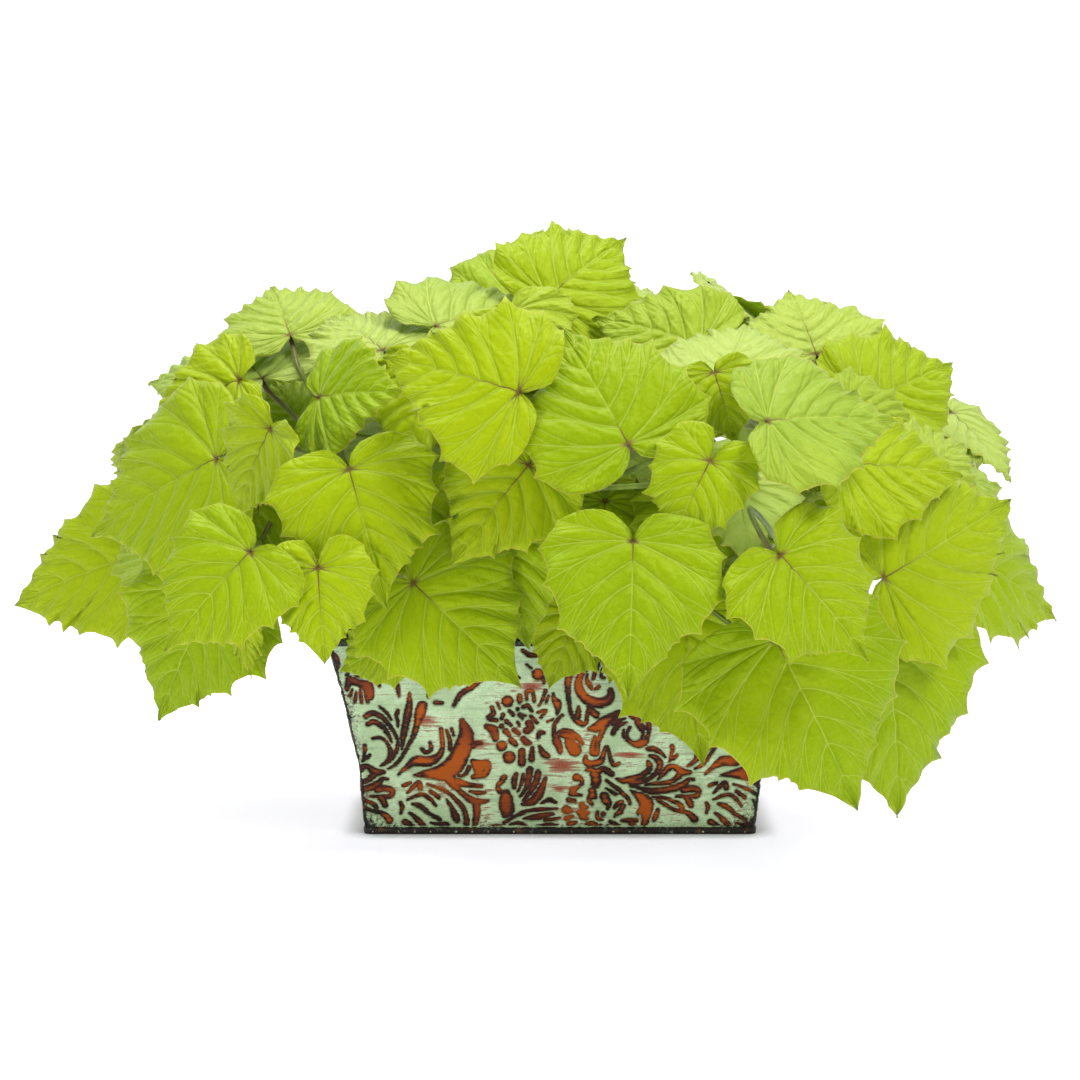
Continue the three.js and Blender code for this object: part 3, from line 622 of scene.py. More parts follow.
def painted_sheen(leaf):
    """Painted sheen: how pale a leaf is painted, most where it faces the sky."""
    least = PAINTED_SHEEN["least"]
    return ease(leaf["face"][2], PAINTED_SHEEN["starts"], PAINTED_SHEEN["full"]) * (least + (1 - least) * draw(leaf["index"], 71))


def from_range(name, share):
    low, high = YOUNG[name]
    return low + (high - low) * share


def young_leaf(index, root):
    """A small leaf on a short stalk from a point of a stem, facing up and a little outwards."""
    out = unit((root - CANOPY["centre"]) * (1, 1, 0) + (0.01, 0.3, 0))
    out = turned(out, YOUNG["swing"] * jitter(index, 54))
    face = unit(out * YOUNG["lean"] + (0, 0, 1))
    ahead = unit(out - face * (out @ face) - face * YOUNG["droop"])
    at = root + unit(out * 0.5 + (0, 0, 1)) * from_range("stalk", draw(index, 55))
    leaf = finish_leaf(index, USUAL, at, ahead * from_range("length", draw(index, 56)), face, None)
    leaf["root"] = root
    return leaf


def young_leaves(others, stalks):
    """Small leaves on the stems inside the mound, where there is most room for them."""
    blades = [leaf_mesh(leaf)[0][:: EVERY["blade"]] for leaf in others]
    crowded = np.concatenate(blades + [points[:: EVERY["stalk"]] for points, _ in stalks.values()])
    crowd = KDTree(len(crowded))
    for k, point in enumerate(crowded):
        crowd.insert(point, k)
    crowd.balance()
    found = []
    for name, (points, _) in stalks.items():
        for root in points[:: EVERY["root"]]:
            share = np.linalg.norm((root - CANOPY["centre"]) / CANOPY["size"])
            if not YOUNG["height"][0] < root[2] < YOUNG["height"][1] or share > YOUNG["inside"]:
                continue
            for _ in range(YOUNG["tries"]):
                leaf = young_leaf(YOUNG["first_index"] + len(found), root)
                room = min(crowd.find(point)[2] for point in blade_points(leaf, *np.array(PROBES).T))
                leaf["vine"] = name
                found.append((room, leaf))
    found.sort(key=lambda row: -row[0])
    kept, middles = [], []
    for room, leaf in found:
        middle = leaf["at"] + leaf["ahead"] * leaf["length"] * MIDDLE
        apart = min((np.linalg.norm(middle - other) for other in middles), default=YOUNG["apart"])
        if room > YOUNG["clear"] and apart >= YOUNG["apart"] and len(kept) < YOUNG["count"]:
            kept.append(leaf)
            middles.append(middle)
    return kept


def leaf_stalk(leaf):
    """Short bent stalk of a young leaf, from its stem to its blade: points and triangles in mm."""
    sides, steps = YOUNG_STALK["sides"], YOUNG_STALK["steps"]
    share = np.linspace(0, 1, steps)[:, None]
    way = leaf["at"] - leaf["root"]
    middle = leaf["root"] - unit(way) * (1 - share) + way * share
    middle += leaf["face"] * YOUNG_STALK["bend"] * (share - share**2)
    first = unit(np.cross(way, leaf["side"] + leaf["ahead"]))
    second = unit(np.cross(way, first))
    around = np.arange(sides) * 2 * np.pi / sides
    ring = np.cos(around)[:, None] * first + np.sin(around)[:, None] * second
    thick = YOUNG_STALK["root"] - YOUNG_STALK["narrowing"] * share[:, None]
    points = (middle[:, None] + ring * thick).reshape(-1, 3)
    rings = np.arange(steps * sides).reshape(steps, sides)
    cells = np.concatenate([band(one, other) for one, other in zip(rings[:-1], rings[1:])])
    fan = np.array([(0, n + 1, n) for n in range(1, sides - 1)])
    return points, np.concatenate([cells[:, [0, 1, 2]], cells[:, [0, 2, 3]], fan, fan[:, ::-1] + rings[-1, 0]])


def leaves_of(name):
    return [leaf for leaf in leaves if leaf["vine"] == name]


solids = {name: node_points(name) for name in NODES if name.startswith("vine_")}
leaves = [leaf for leaf in all_leaves() if find_leaf(leaf, solids)]
bare_stalks = {name: stalks_of(name, leaves_of(name)) for name in solids}
leaves += young_leaves(leaves, bare_stalks)
LEAF, STALK = leaf_look(), stalk_look()
for name in solids:
    own = leaves_of(name)
    all_points, all_faces, corner_facts, start = [], [], [], 0
    values = {label: [] for label in ("span", "length", "tone", "painted_sheen")}
    for leaf in own:
        points, faces, facts = leaf_mesh(leaf)
        points, faces, corners, first = welded(points, faces)
        all_points.append(points)
        all_faces.append(faces + start)
        start += len(points)
        corner_facts.append(facts[corners.ravel(), :4])
        # Each leaf's painted sheen, paler where it faces the sky, goes on all its points.
        for label, value in (("length", leaf["length"]), ("tone", draw(leaf["index"], 70)), ("painted_sheen", painted_sheen(leaf))):
            values[label].append(np.full(len(points), value))
        values["span"].append(facts[first, 4])
    leaf_faces = sum(len(faces) for faces in all_faces)
    points, faces = bare_stalks[name]
    for leaf in own:
        if "root" in leaf:
            more, more_faces = leaf_stalk(leaf)
            faces = np.concatenate([faces, more_faces + len(points)])
            points = np.concatenate([points, more])
    leaf_gap = np.min([np.linalg.norm(points - leaf["at"], axis=1) for leaf in own], axis=0)
    corner_facts = np.concatenate(corner_facts + [np.zeros((faces.size, 4))])
    all_points, all_faces = np.concatenate(all_points + [points]), np.concatenate(all_faces + [faces + start])
    vine = new_piece(name + "_grown", all_points, all_faces)
    for label, columns in (("net", slice(0, 2)), ("flat", slice(2, 4))):
        layer = vine.data.uv_layers.new(name=label)
        layer.data.foreach_set("uv", np.asarray(corner_facts[:, columns], np.float32).ravel())
    for label, parts in values.items():
        set_values(vine.data, label, np.concatenate(parts + [np.zeros(len(points))]))
    set_values(vine.data, "purple", np.concatenate([np.zeros(start), np.clip(1 - leaf_gap / PURPLE_REACH, 0, 1)]))
    vine.data.materials.append(LEAF)
    vine.data.materials.append(STALK)
    kinds = np.zeros(len(vine.data.polygons), np.int32)
    kinds[leaf_faces:] = 1
    vine.data.polygons.foreach_set("material_index", kinds)
    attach(vine, "root")
    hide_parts(name)

# ---------------- the planter's embossed pattern
# Motifs of the pattern: the column and row of the view grid that a motif's points are counted from, and its hollows,
# one a line, through points of column,row,half-width.
REPEAT = 305  # columns after which it starts again
SPRAY = (350, 665), """
3,8,3.5 11,11,3 20,15,5.5 22,25,4
0,17,2.2 2,10,3
5,18,0.8 3,25,1.3
9,21,0.8 7.5,30,1.5
13,18,0.8 13.5,26.5,1.5 14,32,1.2
18,24,1 20,31,1.5
8,5,0.6 18,3,1.8 26.5,0.5,2.2 29,6,3 32,15,1
18,46,2.2 24,42.5,2.4 32,45.5,2.2 39,53,1.8 45,62,1.6 49,71,1.3 48,81,1.6 43,90,2
19.5,54.5,1.8 25,52,2.3 32,55,2.2 38.5,63,2 43,73,0.8
24.5,69,0.9 31,68,1.6 37,72,1.2 40.5,78.5,1.4 42,84,2.5 40.5,91,2.5 32,98,0.8
31.5,36,0.9 38,42,1.5 43,49.5,0.6
49.5,40.5,1.5 48,45.5,1.4 49.5,51,1.6 49.5,57,0.6
61.5,22,0.8 61,33.5,2.6 59.5,43,3.6 57.5,53,3.6 54.5,67,2.8 53,81,0.6
74,35,4.5 71.5,42,5 68.5,53,2.6 66,63,2.2 60,75.5,1.5 53,88,1.4 46,97,1.4 39,101,0.6
87,32,2 93,32,1.6
73,80.5,1.6 77,84,1.6 82,80.5,1.6 81,73.5,1.2
49.5,106.5,0.8 56.5,100,1.5 67,93,5 80,93,5 89.5,87.5,3 93.5,78.5,1.8 93,70,1.7 92,59,1.4
64.5,108,0.6 80,106,4.5 96,104,9 106,95,9.5 113,80,8.5 117,65,7 113,51,2.5
123,77.5,2 128,74,1.3 132,74,0.9
97.5,61,1 100.5,70.5,1.6 101,80,2
102.5,59,1.3 104.5,66,0.8
107.5,115,4 118,117.5,2 131.5,119,1.6
120,124.5,0.8 128.5,126,2 135.5,125.5,0.7
100.5,112,5 109.5,123.5,2 118,131,3 126.5,135.5,3.5 139,134,0.6
126.5,137.5,3 127,146,3.2 126,154,2.8 124.5,162.5,1.8
77.5,117,0.6 88,120.5,1.2 98.5,126,1.4 107.5,134.5,1.8 114,143.5,2.2 116.5,153,2.4 116.5,162,2.4
97,133,0.6 102,141.5,1.8 105.5,150.5,3.6 107,154,3
90,159,1.5 96.5,159,2.2 99,162.5,1
55.5,156.5,3 63,162,2.6
54,118.5,1.4 61,115.5,1.2
58,126,0.6 64.5,119,2 69.5,115,1.6 70.5,120.5,2.4
58,133,0.6 67,129,1.6 74,128,1.6 82,134,1.5 86,139.5,1
81,124.5,1.5 89,130.5,1.8
51,136.5,1.2 52.5,140,1.8 51,147,1
63,137.5,1 68.5,139,2.4 76.5,145,2 78.5,147,1.4 89.5,153.5,1.8
60,147,0.8 67,153,2.4 74,161,2.4
81,157.5,0.8 89.5,160,2 98,160.5,2
109.5,99,1.5 107,103.5,1.3 110.5,108.5,1.3 116,106.5,1.4 119.5,99.5,1.8
123,93,2 129.5,98,6 137,96,3.5 135,106.5,3 123.5,109.5,2
129.5,103,5
"""
BLOSSOM = (485, 655), """
23,40.5,5.5
35,35,2.2 35,40.5,2.2
42,38.5,1 42.5,30.5,1.8 46,29.5,1.8 49.5,40.5,1
60.5,29.5,1.6 58,38,1 54,45,0.7
63.5,34.5,1 61,42,0.7
53,52,0.8 60.5,50,1.3 56,57,0.8
7.5,46.5,1.5 9,53.5,2.2 4,57.5,2 12,60.5,1.5
13,42,0.9 15.5,48.5,0.7
2.5,66.5,2.5 8.5,70,4.5 11,79.5,2.8
17,87,5
24.5,99,6
37,92.5,3 37,105,3.5
47.5,89,1.5 46.5,101,2.8
54.5,87.5,1 59,95.5,3.4 63,98,2.2
53,78.5,1.5 55.5,73,2.5 59.5,73.5,1
38.5,46.5,1.6 42.5,45,1.8 47,50.5,1
25,50.5,1.6 28.5,54,1.4
33,48.5,1.5
35,54,1.8 38,59,1
35,54,1.5 41,55.5,0.7
46,56,1.5 52,62.5,1.2
18.5,54,1.6 17,58.5,1.2
22,61.5,2 26.5,65.5,1.2
33,62,1 34.5,65.5,1
44,63,3 45.5,67.5,3.5 42,71,3.5
17,66.5,2.4
21,71.5,2.6 25,76.5,1.2
29.5,70,2 34.5,74.5,1.2
26.5,81.5,2.6 31,85.5,2
38.5,79.5,2.6 42,83.5,3 45.5,84,1.4
24,0,2 26,7.5,1.2
21.5,16,4 26,12,2.6 31,14,1.5 35,16,0.6
53,12,5.5
58,15.5,1.5 59,21,1
42,2,0.8 47,6.5,0.8
68,32,0.8 68.5,37,1.8 72,42.5,3.8 73,48,2.5 72,54,0.7
62.5,61.5,0.6 68.5,59,0.6
"""
SHELL = (490, 765), """
14.5,10,2.6 11,15,2.2 8,19,1.6 11,25.5,2 17.5,25.5,2.4
16,27.5,4 16.5,33,6.5 16.5,39,7 17.5,44.5,7 14.5,50.5,1.5
26.5,6.5,1.6 24.5,12,2.6 24.5,20,2
33.5,7,1.4 32,15.5,1.6 28,24.5,0.7
40,1.5,3 38.5,12,3.2 36.5,20.5,2.4 30.5,29.5,0.7
48,5,2.6 46,15,3.2 40.5,24.5,2.4 33.5,34,0.8
55.5,10.5,1.2 52.5,19,3 48,29,4.5 41,35.5,3.5 33,37.5,1.5
14,57.5,1.5 23.5,51.5,1.6 37.5,45,1.6 52,43,1.5 67,42.5,1
34,53,0.8 44.5,51.5,3 56,49.5,2.6 63,48,1
55,54,1.5 65,53.5,1.2 70,52,0.7
20,59,0.8 28.5,57.5,1.6 38.5,62.5,1
47,60.5,0.6 60,60,2.4 67,60,1
2.5,61,1.5 8,60,1.2 13,62,1.5
51.5,36.5,0.6 60,33,1.8 66,36,1
"""
SCROLLS = (550, 645), """
41.5,3,0.8 38.5,5.5,1.5 35,8.5,1.3 32.5,12,0.8
21,18,4.2 19,23,3 17.5,31.5,2.7 17.5,38.5,2.4 18,45.5,2 19,53,1.6 20,60.5,1.4 23,67,2 29.5,73,2.5 32.5,74.5,2 \
  35.5,72.5,1.8 36.5,65.5,1.5 38.5,59,2
28,56,0.8 28,61,2 27,66.5,3.3
38.5,56,2 40.5,60.5,3.5 43.5,62.5,3.2 46,66,2.2
47,63,1.5
42.5,11,0.6 38.5,13.5,1.6 33.5,19,2.2 29.5,24.5,2.8 28,30,3.2 28.5,37,3.8 31.5,43.5,4.2 36.5,48.5,4.5 42,51,5 \
  48,52,5 54.5,50.5,4.8 59,47,4.2 60,42.5,3.2 59.5,39,2.5
36.5,22.5,1 36,26.5,1.2 37.5,31.5,2 40,35,1.8 41,37,0.8
44,37.5,0.8 46,36.5,1.5 48,35,1.5
47,9,2.2 46,15.5,1.8 44,21,1.8 42.5,26,1.6
52,16,1 50.5,21,1 50.5,25,1.2 53,26,1.2
38.5,79,1.2 42,78.5,3 47.5,77,5 53,73,6 57.5,69.5,5 62.5,65,2.8 68,60.5,1.2
59,71.5,3 66,66.5,1.8 70.5,64,0.8
61,73,2.5 68,71,2 74,68.5,0.7
63,75,1.5 69.5,74.5,1.8 75.5,72.5,0.8
68,76.5,1.8 64.5,79,2.5 62.5,83.5,2.2
53,79,3 51,84,2 49,89.5,2 47.5,93,2 47,98.5,2 46.5,105,2.2
44.5,87.5,1.2 43.5,92,1.8 42,100.5,2 42.5,104.5,2.5 46,106,1.5
12,65,1.2 7.5,69.5,1.6 4.5,74.5,1.3 4,81.5,1.8 5.5,87.5,3 7,93,4 9,98.5,3 10,103.5,1.8
9,82.5,1.5 14,81.5,2.2 18,82,2.5 23,84,2.2 28,89,2.2 31.5,94,1.6
11,85.5,2 18,87,3.5 23,88.5,3
18,91.5,3 21,97,5 24.5,101,6.5 25,104,3.8
98,42,2 94.5,47,2.2 93,54,1.8 93.5,61,1.6 95.5,67.5,1.8 97.5,73.5,1.8 98,80.5,1.8 96.5,87,1.8 94,92.5,3 91,94,4 \
  87,95.5,3.2 81,93.5,2 76.5,90,1.8 73,86,1.5 73,80,1
79,78,1.2 76.5,82.5,1.2 76.5,87.5,1.2 80,92,1.2 84.5,94,1.5 89,92,1.5 91.5,87.5,1.2 92,82,1.5 89.5,78,2 \
  87,74.5,2.2
77,62.5,1.2 81,65,3 85.5,68.5,2.5 88,74.5,3 92.5,77,1.8 96.5,78,1.5
80.5,58,1.5 84.5,61.5,2 88,65,1.2
73.5,49.5,1 75.5,54,1.4 79,57,1.4
79,38,1.2 82.5,40.5,3 84.5,45.5,1.4
79,49.5,1 83.5,52.5,1.4 87.5,53.5,2
35.5,108,1.3 35.5,113,2.5 39,116,3.5 45.5,115.5,3.5 50.5,112.5,3.2 52.5,108,2.2 54,102.5,1.6 56,98.5,2 \
  58,102.5,1.4 59.5,109,1.6 61,113,2 63.5,117,1.6 68.5,115.5,1.4
36.5,122.5,1.2 42,122.5,2.5 44.5,126.5,4.5 46,132,4.8 45.5,136.5,4.5
48,123.5,3 53,121,2.5 57.5,123.5,3 61.5,126.5,2.5
"""
DAISY = (565, 775), """
27,14,3.5 27.5,18,4 24,23,1.8 27,28,1.5
30.5,21,1.5
39,19.5,4.2 41,24,4 44,28,2 42.5,32.5,1
56.5,25.5,1.8 53,28,2.5 49.5,31,1.5
58,30,2.5 54.5,36,2.5 49.5,40.5,0.9
45,46,1.2 49.5,48.5,2.2 53.5,51,1.8
35.5,50,1.5 36,52,1.6
42.5,51,1.3
22,48.5,1.6 27,48.5,3 31,50,2.5
16.5,27.5,1.8 18,31,3 22,31,1.2
14.5,36.5,2.5 18.5,37,3 23.5,37,1
17,40.5,3 21.5,43,2
32.5,36,1.2 32,40,1.6 34,43.5,1.5 37,44,0.8
38,38.5,2.4
11.5,0,3.6 16,2.5,2 17,6,1.5 12.5,10,1.2 8,13.5,3.2
6,17,2.2 12,18,1.6 16.5,18.5,0.7
4,23.5,2.5 9.5,24.5,1.8
1.5,33.5,4 6,34.5,1.5
1.5,42.5,2 7.5,40.5,1
5,49,3 11,47,1.2
14.5,51.5,1.3
"""
LEAFAGE = (605, 740), """
1,38,1 6.5,42.5,1.6 13,47.5,1.8 19,53,1.6 23.5,58,1.4 25,62.5,0.9
1,46.5,0.9 6,49.5,1.4 10.5,52,1.5
11,36.5,0.8 18,38.5,2.5 25,37,3 33,34.5,2.8 39.5,31,2.8 43.5,27,2.8 44,22.5,2.6 42.5,18,1.2
25,40.5,2.5 33,40,2.5 39.5,38.5,2 45.5,35,2 51,30,2.5 54,25,2.8 53.5,18.5,3 49.5,14,2.5 44,12,1
42,5,1.8 47,5,2.4 52,7,2 56.5,10.5,1.4 59.5,13.5,0.7
39.5,43,0.9 48,41.5,1.5 58,41,1.8 68,38,2 73.5,33.5,3
52.5,37,1 57,31.5,2.5 62.5,25.5,3 67,23.5,2.2 71,25.5,2.5 76.5,29.5,4 84,29.5,2
25.5,43.5,1 35,46,1.6 44,49,2.8 55,48.5,2.8 65.5,47,3 75,44,3.5 81,39.5,2.5 83,36.5,1.5 88,37,1.2
78,48,3 85.5,46.5,3 91.5,48,3 93,50,2.6 91,54,2.2 84,54.5,1.5 71,54.5,0.8
81,56,2.5 84,60,3 85.5,64,2.5
47,55.5,0.8 58,56,1.2 67,59.5,1.5 73.5,62.5,1.8 76.5,66,2 76.5,70,2
52.5,58.5,1.5 59.5,63,1.6 67,67.5,1.5 75,70.5,1.4 81,71.5,1.8 85.5,74.5,2.8 89.5,79,3.6
25.5,48.5,0.8 31,52.5,2.5 37,57,5.5 41,62,7 41,69,6 41,76,3.8 39.5,83,3 38,87.5,2
33,72.5,1.5 38,68,4
52.5,68.5,1.2 51,74.5,2.4 49,79,2
66,2,1.6 66.5,5.5,1.6 65.5,10.5,1 65.5,15,1.8 63.5,18.5,0.7
71,11.5,1.2 68,15,1.4
17,80,1.4 25,80,2 32,79.5,1.4
27.5,83.5,2.5 25.5,87,2.5
"""
UNDER_RIM = (395, 640), """
0,10,1 7,3,2 17,2,2.6 25,8,2.8 25,17,2.2 18,20,1.5 14,15,1
35,50,1.5 43,38,2.6 55,28,3 68,24,2.6 77,16,1.4
45,15,1.2 53,8,2.2 63,5,2.4 73,1,1
60,60,1.4 67,48,2.4 79,40,2.2 89,32,1
83,22,2.6 91,10,3 97,3,1.4
128,2,1.4 135,7,2 145,6,1.6 153,1,0.9
161,28,1 165,16,2 167,5,1.6
220,10,1.2 227,4,2.4 239,3,3 249,10,3 250,21,2.4 242,27,1.8 234,22,1.3 236,15,0.9
223,30,1 231,36,2 241,36,1.4
260,28,1.2 267,15,2.4 277,6,2.6 289,2,1.4
281,20,1.6 293,16,1.8 302,8,1
303,28,1.2 309,38,2.2 311,50,1
"""  # guessed: leaves hide this band
SAMPLES_A_SPAN = 4
SPREAD = 0.6  # added to every half width
FAR = 6.0  # mm from a hollow past which the distance to it doesn't matter


def smooth_line(words, origin):
    """A smooth line on the wall, in mm across, up and half width, through the points that the words give."""
    column, row, wide = (numbers(words) + (*origin, 0)).T
    points = np.column_stack([column - VIEW["foot_column"], VIEW["foot_row"] - row]) * VIEW["step"]
    wide = (wide + SPREAD) * VIEW["step"]
    if len(points) == 1:
        return np.column_stack([points, wide])[[0, 0]]
    steps = np.concatenate([[0], np.cumsum(np.linalg.norm(np.diff(points, axis=0), axis=1))])
    slopes = np.gradient(points, steps, axis=0) if len(points) > 2 else np.diff(points, axis=0)[[0, 0]] / steps[1]
    fine = np.linspace(0, steps[-1], SAMPLES_A_SPAN * (len(points) - 1) + 1)
    k = np.clip(np.searchsorted(steps, fine, side="right") - 1, 0, len(points) - 2)
    size = (steps[k + 1] - steps[k])[:, None]
    t = (fine - steps[k])[:, None] / size
    out = points[k] * (2 * t**3 - 3 * t**2 + 1) + points[k + 1] * (3 * t**2 - 2 * t**3)
    out += size * (slopes[k] * (t**3 - 2 * t**2 + t) + slopes[k + 1] * (t**3 - t**2))
    return np.column_stack([out, np.interp(fine, steps, wide)])


MOTIFS = [SPRAY, BLOSSOM, SHELL, SCROLLS, DAISY, LEAFAGE, UNDER_RIM]
HOLLOWS = [smooth_line(words, origin) for origin, motif in MOTIFS for words in lines_of(motif)]
PERIOD = REPEAT * VIEW["step"]
PATTERN_LEFT = -154  # mm across at which its strokes begin


def round_pattern(across):
    """Place across within one repeat of the pattern."""
    return (across - PATTERN_LEFT) % PERIOD + PATTERN_LEFT


def hollow_gap(across, up):
    """Distance to the pattern's nearest hollow edge, below 0 inside a hollow."""
    gap = np.full(across.shape, FAR)
    around = round_pattern(across)
    for line in HOLLOWS:
        for shift in (-PERIOD, 0, PERIOD):
            reach = line[:, 2].max() + FAR
            low, high = line[:, :2].min(axis=0) - reach, line[:, :2].max(axis=0) + reach
            inside = (around > low[0] + shift) & (around < high[0] + shift) & (up > low[1]) & (up < high[1])
            if not inside.any():
                continue
            x, y = around[inside] - shift, up[inside]
            best = gap[inside]
            for (x0, y0, r0), (x1, y1, r1) in zip(line[:-1], line[1:]):
                dx, dy = x1 - x0, y1 - y0
                t = np.clip(((x - x0) * dx + (y - y0) * dy) / max(dx * dx + dy * dy, 1e-9), 0, 1)
                best = np.minimum(best, np.hypot(x - x0 - t * dx, y - y0 - t * dy) - r0 - (r1 - r0) * t)
            gap[inside] = best
    return gap


# ---------------- the planter
WALLS = dict(  # turn, where the pattern starts, mesh step
    front=(0, 0, 0.75),
    right=(90, 172, 1.25),
    back=(180, 331, 1.25),
    left=(270, 500, 1.25),
)
EMBOSS = dict(depth=0.8, soft=0.7, lip=0.45, lip_at=1.1, lip_wide=1.3)  # mm
PLAIN = dict(foot=4, top=3, fade=2.5)  # mm that the pattern keeps clear of a wall's edges
SLOPE = 1.006  # a leaning wall's face is this much longer than it is tall
DENTS = [(0.2, 16, 3), (0.1, 3.2, 5)]  # height and size in mm, seed
CORNER_DENTS = dict(height=0.5, size=2.4, seed=7)
WASH = dict(corner=(0.75, 13), foot=(0.7, 6), edge=2.2)  # strength, mm that it reaches
TIN_SHEET = 1.45
BENDS, CORNER_STEPS = 7, 9  # points round half a corner of a wall, and round a corner of a ring
# Worn places of the front: across, up, and how wide and tall they are.
WORN = [(1, 50, 13, 6), (-1, 33, 9, 3), (48, 58, 14, 3), (-60, 66, 12, 4), (-20, 108, 10, 4), (118, 84, 14, 5)]


def half_outline(height):
    """Half the planter's width and depth at a height."""
    return np.array([PLANTER["half_width"], PLANTER["half_depth"]]) + steps_of(FLARE, height)


def lumps(a, b, size, seed):
    """Smooth unevenness between -1 and 1 over two directions."""
    total = 0
    for k in range(5):
        turn = 2 * np.pi * draw(seed, k)
        way = (a * math.cos(turn) + b * math.sin(turn)) / size
        total = total + np.sin(way * (0.7 + 0.25 * k) + 9 * draw(seed, k + 9))
    return total / 5


def wall(name, turn, start, grid):
    """One wall as a closed sheet: embossed outside, plain inside, out to the middle of its two corners."""
    half, reach = PLANTER["half_width"], PLANTER["half_depth"]
    if turn % 180 == 90:
        half, reach = reach, half
    heights = np.linspace(HEM["height"] * 0.5, PLANTER["height"] - RIM_HEIGHT * 0.5, round(PLANTER["height"] / grid))
    bends = np.radians(np.linspace(0, 45, BENDS))
    along = np.linspace(-1, 1, round((2 * half + FLARE[-1][1]) / grid))
    corner = PLANTER["corner"]
    lean = steps_of(FLARE, heights)[:, None]
    side = half + lean - corner
    x = np.hstack([-side - corner * np.sin(bends[:0:-1]), along * side, side + corner * np.sin(bends[1:])])
    turn_in = np.concatenate([1 - np.cos(bends[:0:-1]), 0 * along, 1 - np.cos(bends[1:])]) * corner
    outwards = np.concatenate([bends[:0:-1] * -1, 0 * along, bends[1:]])
    y = -(reach + lean) + turn_in
    z = np.repeat(heights[:, None], x.shape[1], axis=1)
    up = z * SLOPE
    gap = hollow_gap(start + x, up)
    corner_gap = side - np.abs(x) + corner
    clear = np.minimum(z - PLAIN["foot"], PLANTER["height"] - PLAIN["top"] - z)
    plain = ease(np.minimum(corner_gap, clear), 0, PLAIN["fade"])
    lip = np.exp(-(((gap - EMBOSS["lip_at"]) / EMBOSS["lip_wide"]) ** 2))
    relief = -EMBOSS["depth"] * ease(gap, EMBOSS["soft"], -EMBOSS["soft"]) * plain + EMBOSS["lip"] * lip * plain
    relief += sum(high * lumps(x + start, z, size, seed) for high, size, seed in DENTS)
    dented = lumps(0 * z, z, CORNER_DENTS["size"], CORNER_DENTS["seed"] + turn)
    relief += CORNER_DENTS["height"] * np.exp(-((corner_gap / CORNER_DENTS["size"]) ** 2)) * dented
    outer = np.stack([x + relief * np.sin(outwards), y - relief * np.cos(outwards), z], axis=-1)
    inner = np.stack([x - TIN_SHEET * np.sin(outwards), y + TIN_SHEET * np.cos(outwards), z], axis=-1)
    rows, columns = x.shape
    cells = np.arange((rows + 4) * columns).reshape(-1, columns)
    cells, lower = cells[:rows], cells[rows:]
    faces = quads(cells).tolist()
    faces += quads(lower)[:, FLIP].tolist()
    faces += quads(np.stack([cells[0], lower[0]]))[:, FLIP].tolist()
    faces += quads(np.stack([cells[-1], lower[3]])).tolist()
    faces += [cells[:, 0].tolist() + lower[::-1, 0].tolist(), cells[::-1, -1].tolist() + lower[:, -1].tolist()]
    inner_rows = [0, rows // 3, 2 * rows // 3, rows - 1]
    points = np.concatenate([outer.reshape(-1, 3), inner[inner_rows].reshape(-1, 3)])
    piece = new_piece(name, turned(points, turn), faces)
    (corner_wash, corner_reach), (foot_wash, foot_reach) = WASH["corner"], WASH["foot"]
    wash = corner_wash * np.exp(-np.maximum(corner_gap - 1, 0) / corner_reach)
    wash += foot_wash * np.exp(-(z - PLAIN["foot"]) / foot_reach) + np.exp(-((corner_gap / WASH["edge"]) ** 4))
    worn = 0
    for ax, ay, wide, tall in WORN:
        worn = worn + np.exp(-((round_pattern(start + x - ax) / wide) ** 2) - ((up - ay) / tall) ** 2)
    gap = gap * plain + FAR * (1 - plain)
    for label, values, inside in (("gap", gap, FAR), ("wash", wash, 0), ("worn", worn, 0)):
        set_values(piece.data, label, np.concatenate([values.ravel(), np.full(lower.size, inside)]))
    return piece


def swept(name, profile, grid=2.5):
    """Ring round the planter with a closed profile of (height, out) points."""
    rings = []
    for height, out in profile:
        half_x, half_y = half_outline(min(height, PLANTER["height"])) - PLANTER["corner"]
        radius = PLANTER["corner"] + out
        corners = [(half_x, half_y, 0), (-half_x, half_y, 90), (-half_x, -half_y, 180), (half_x, -half_y, 270)]
        steps = [round(2 * PLANTER["half_width"] / grid), round(2 * PLANTER["half_depth"] / grid)] * 2
        arcs = []
        for cx, cy, angle in corners:
            turn = np.radians(angle + np.linspace(0, 90, CORNER_STEPS))
            arcs.append(np.stack([cx + radius * np.cos(turn), cy + radius * np.sin(turn), 0 * turn + height], 1))
        for k, count in enumerate(steps):
            gap = arcs[(k + 1) % 4][0] - arcs[k][-1]
            rings += [arcs[k], arcs[k][-1] + gap * (np.arange(1, count) / count)[:, None]]
    points = np.concatenate(rings)
    loops = np.arange(len(points)).reshape(len(profile), -1)
    faces = np.concatenate([band(one, other) for one, other in zip(loops, np.roll(loops, -1, axis=0))])
    return new_piece(name, points, faces.tolist())


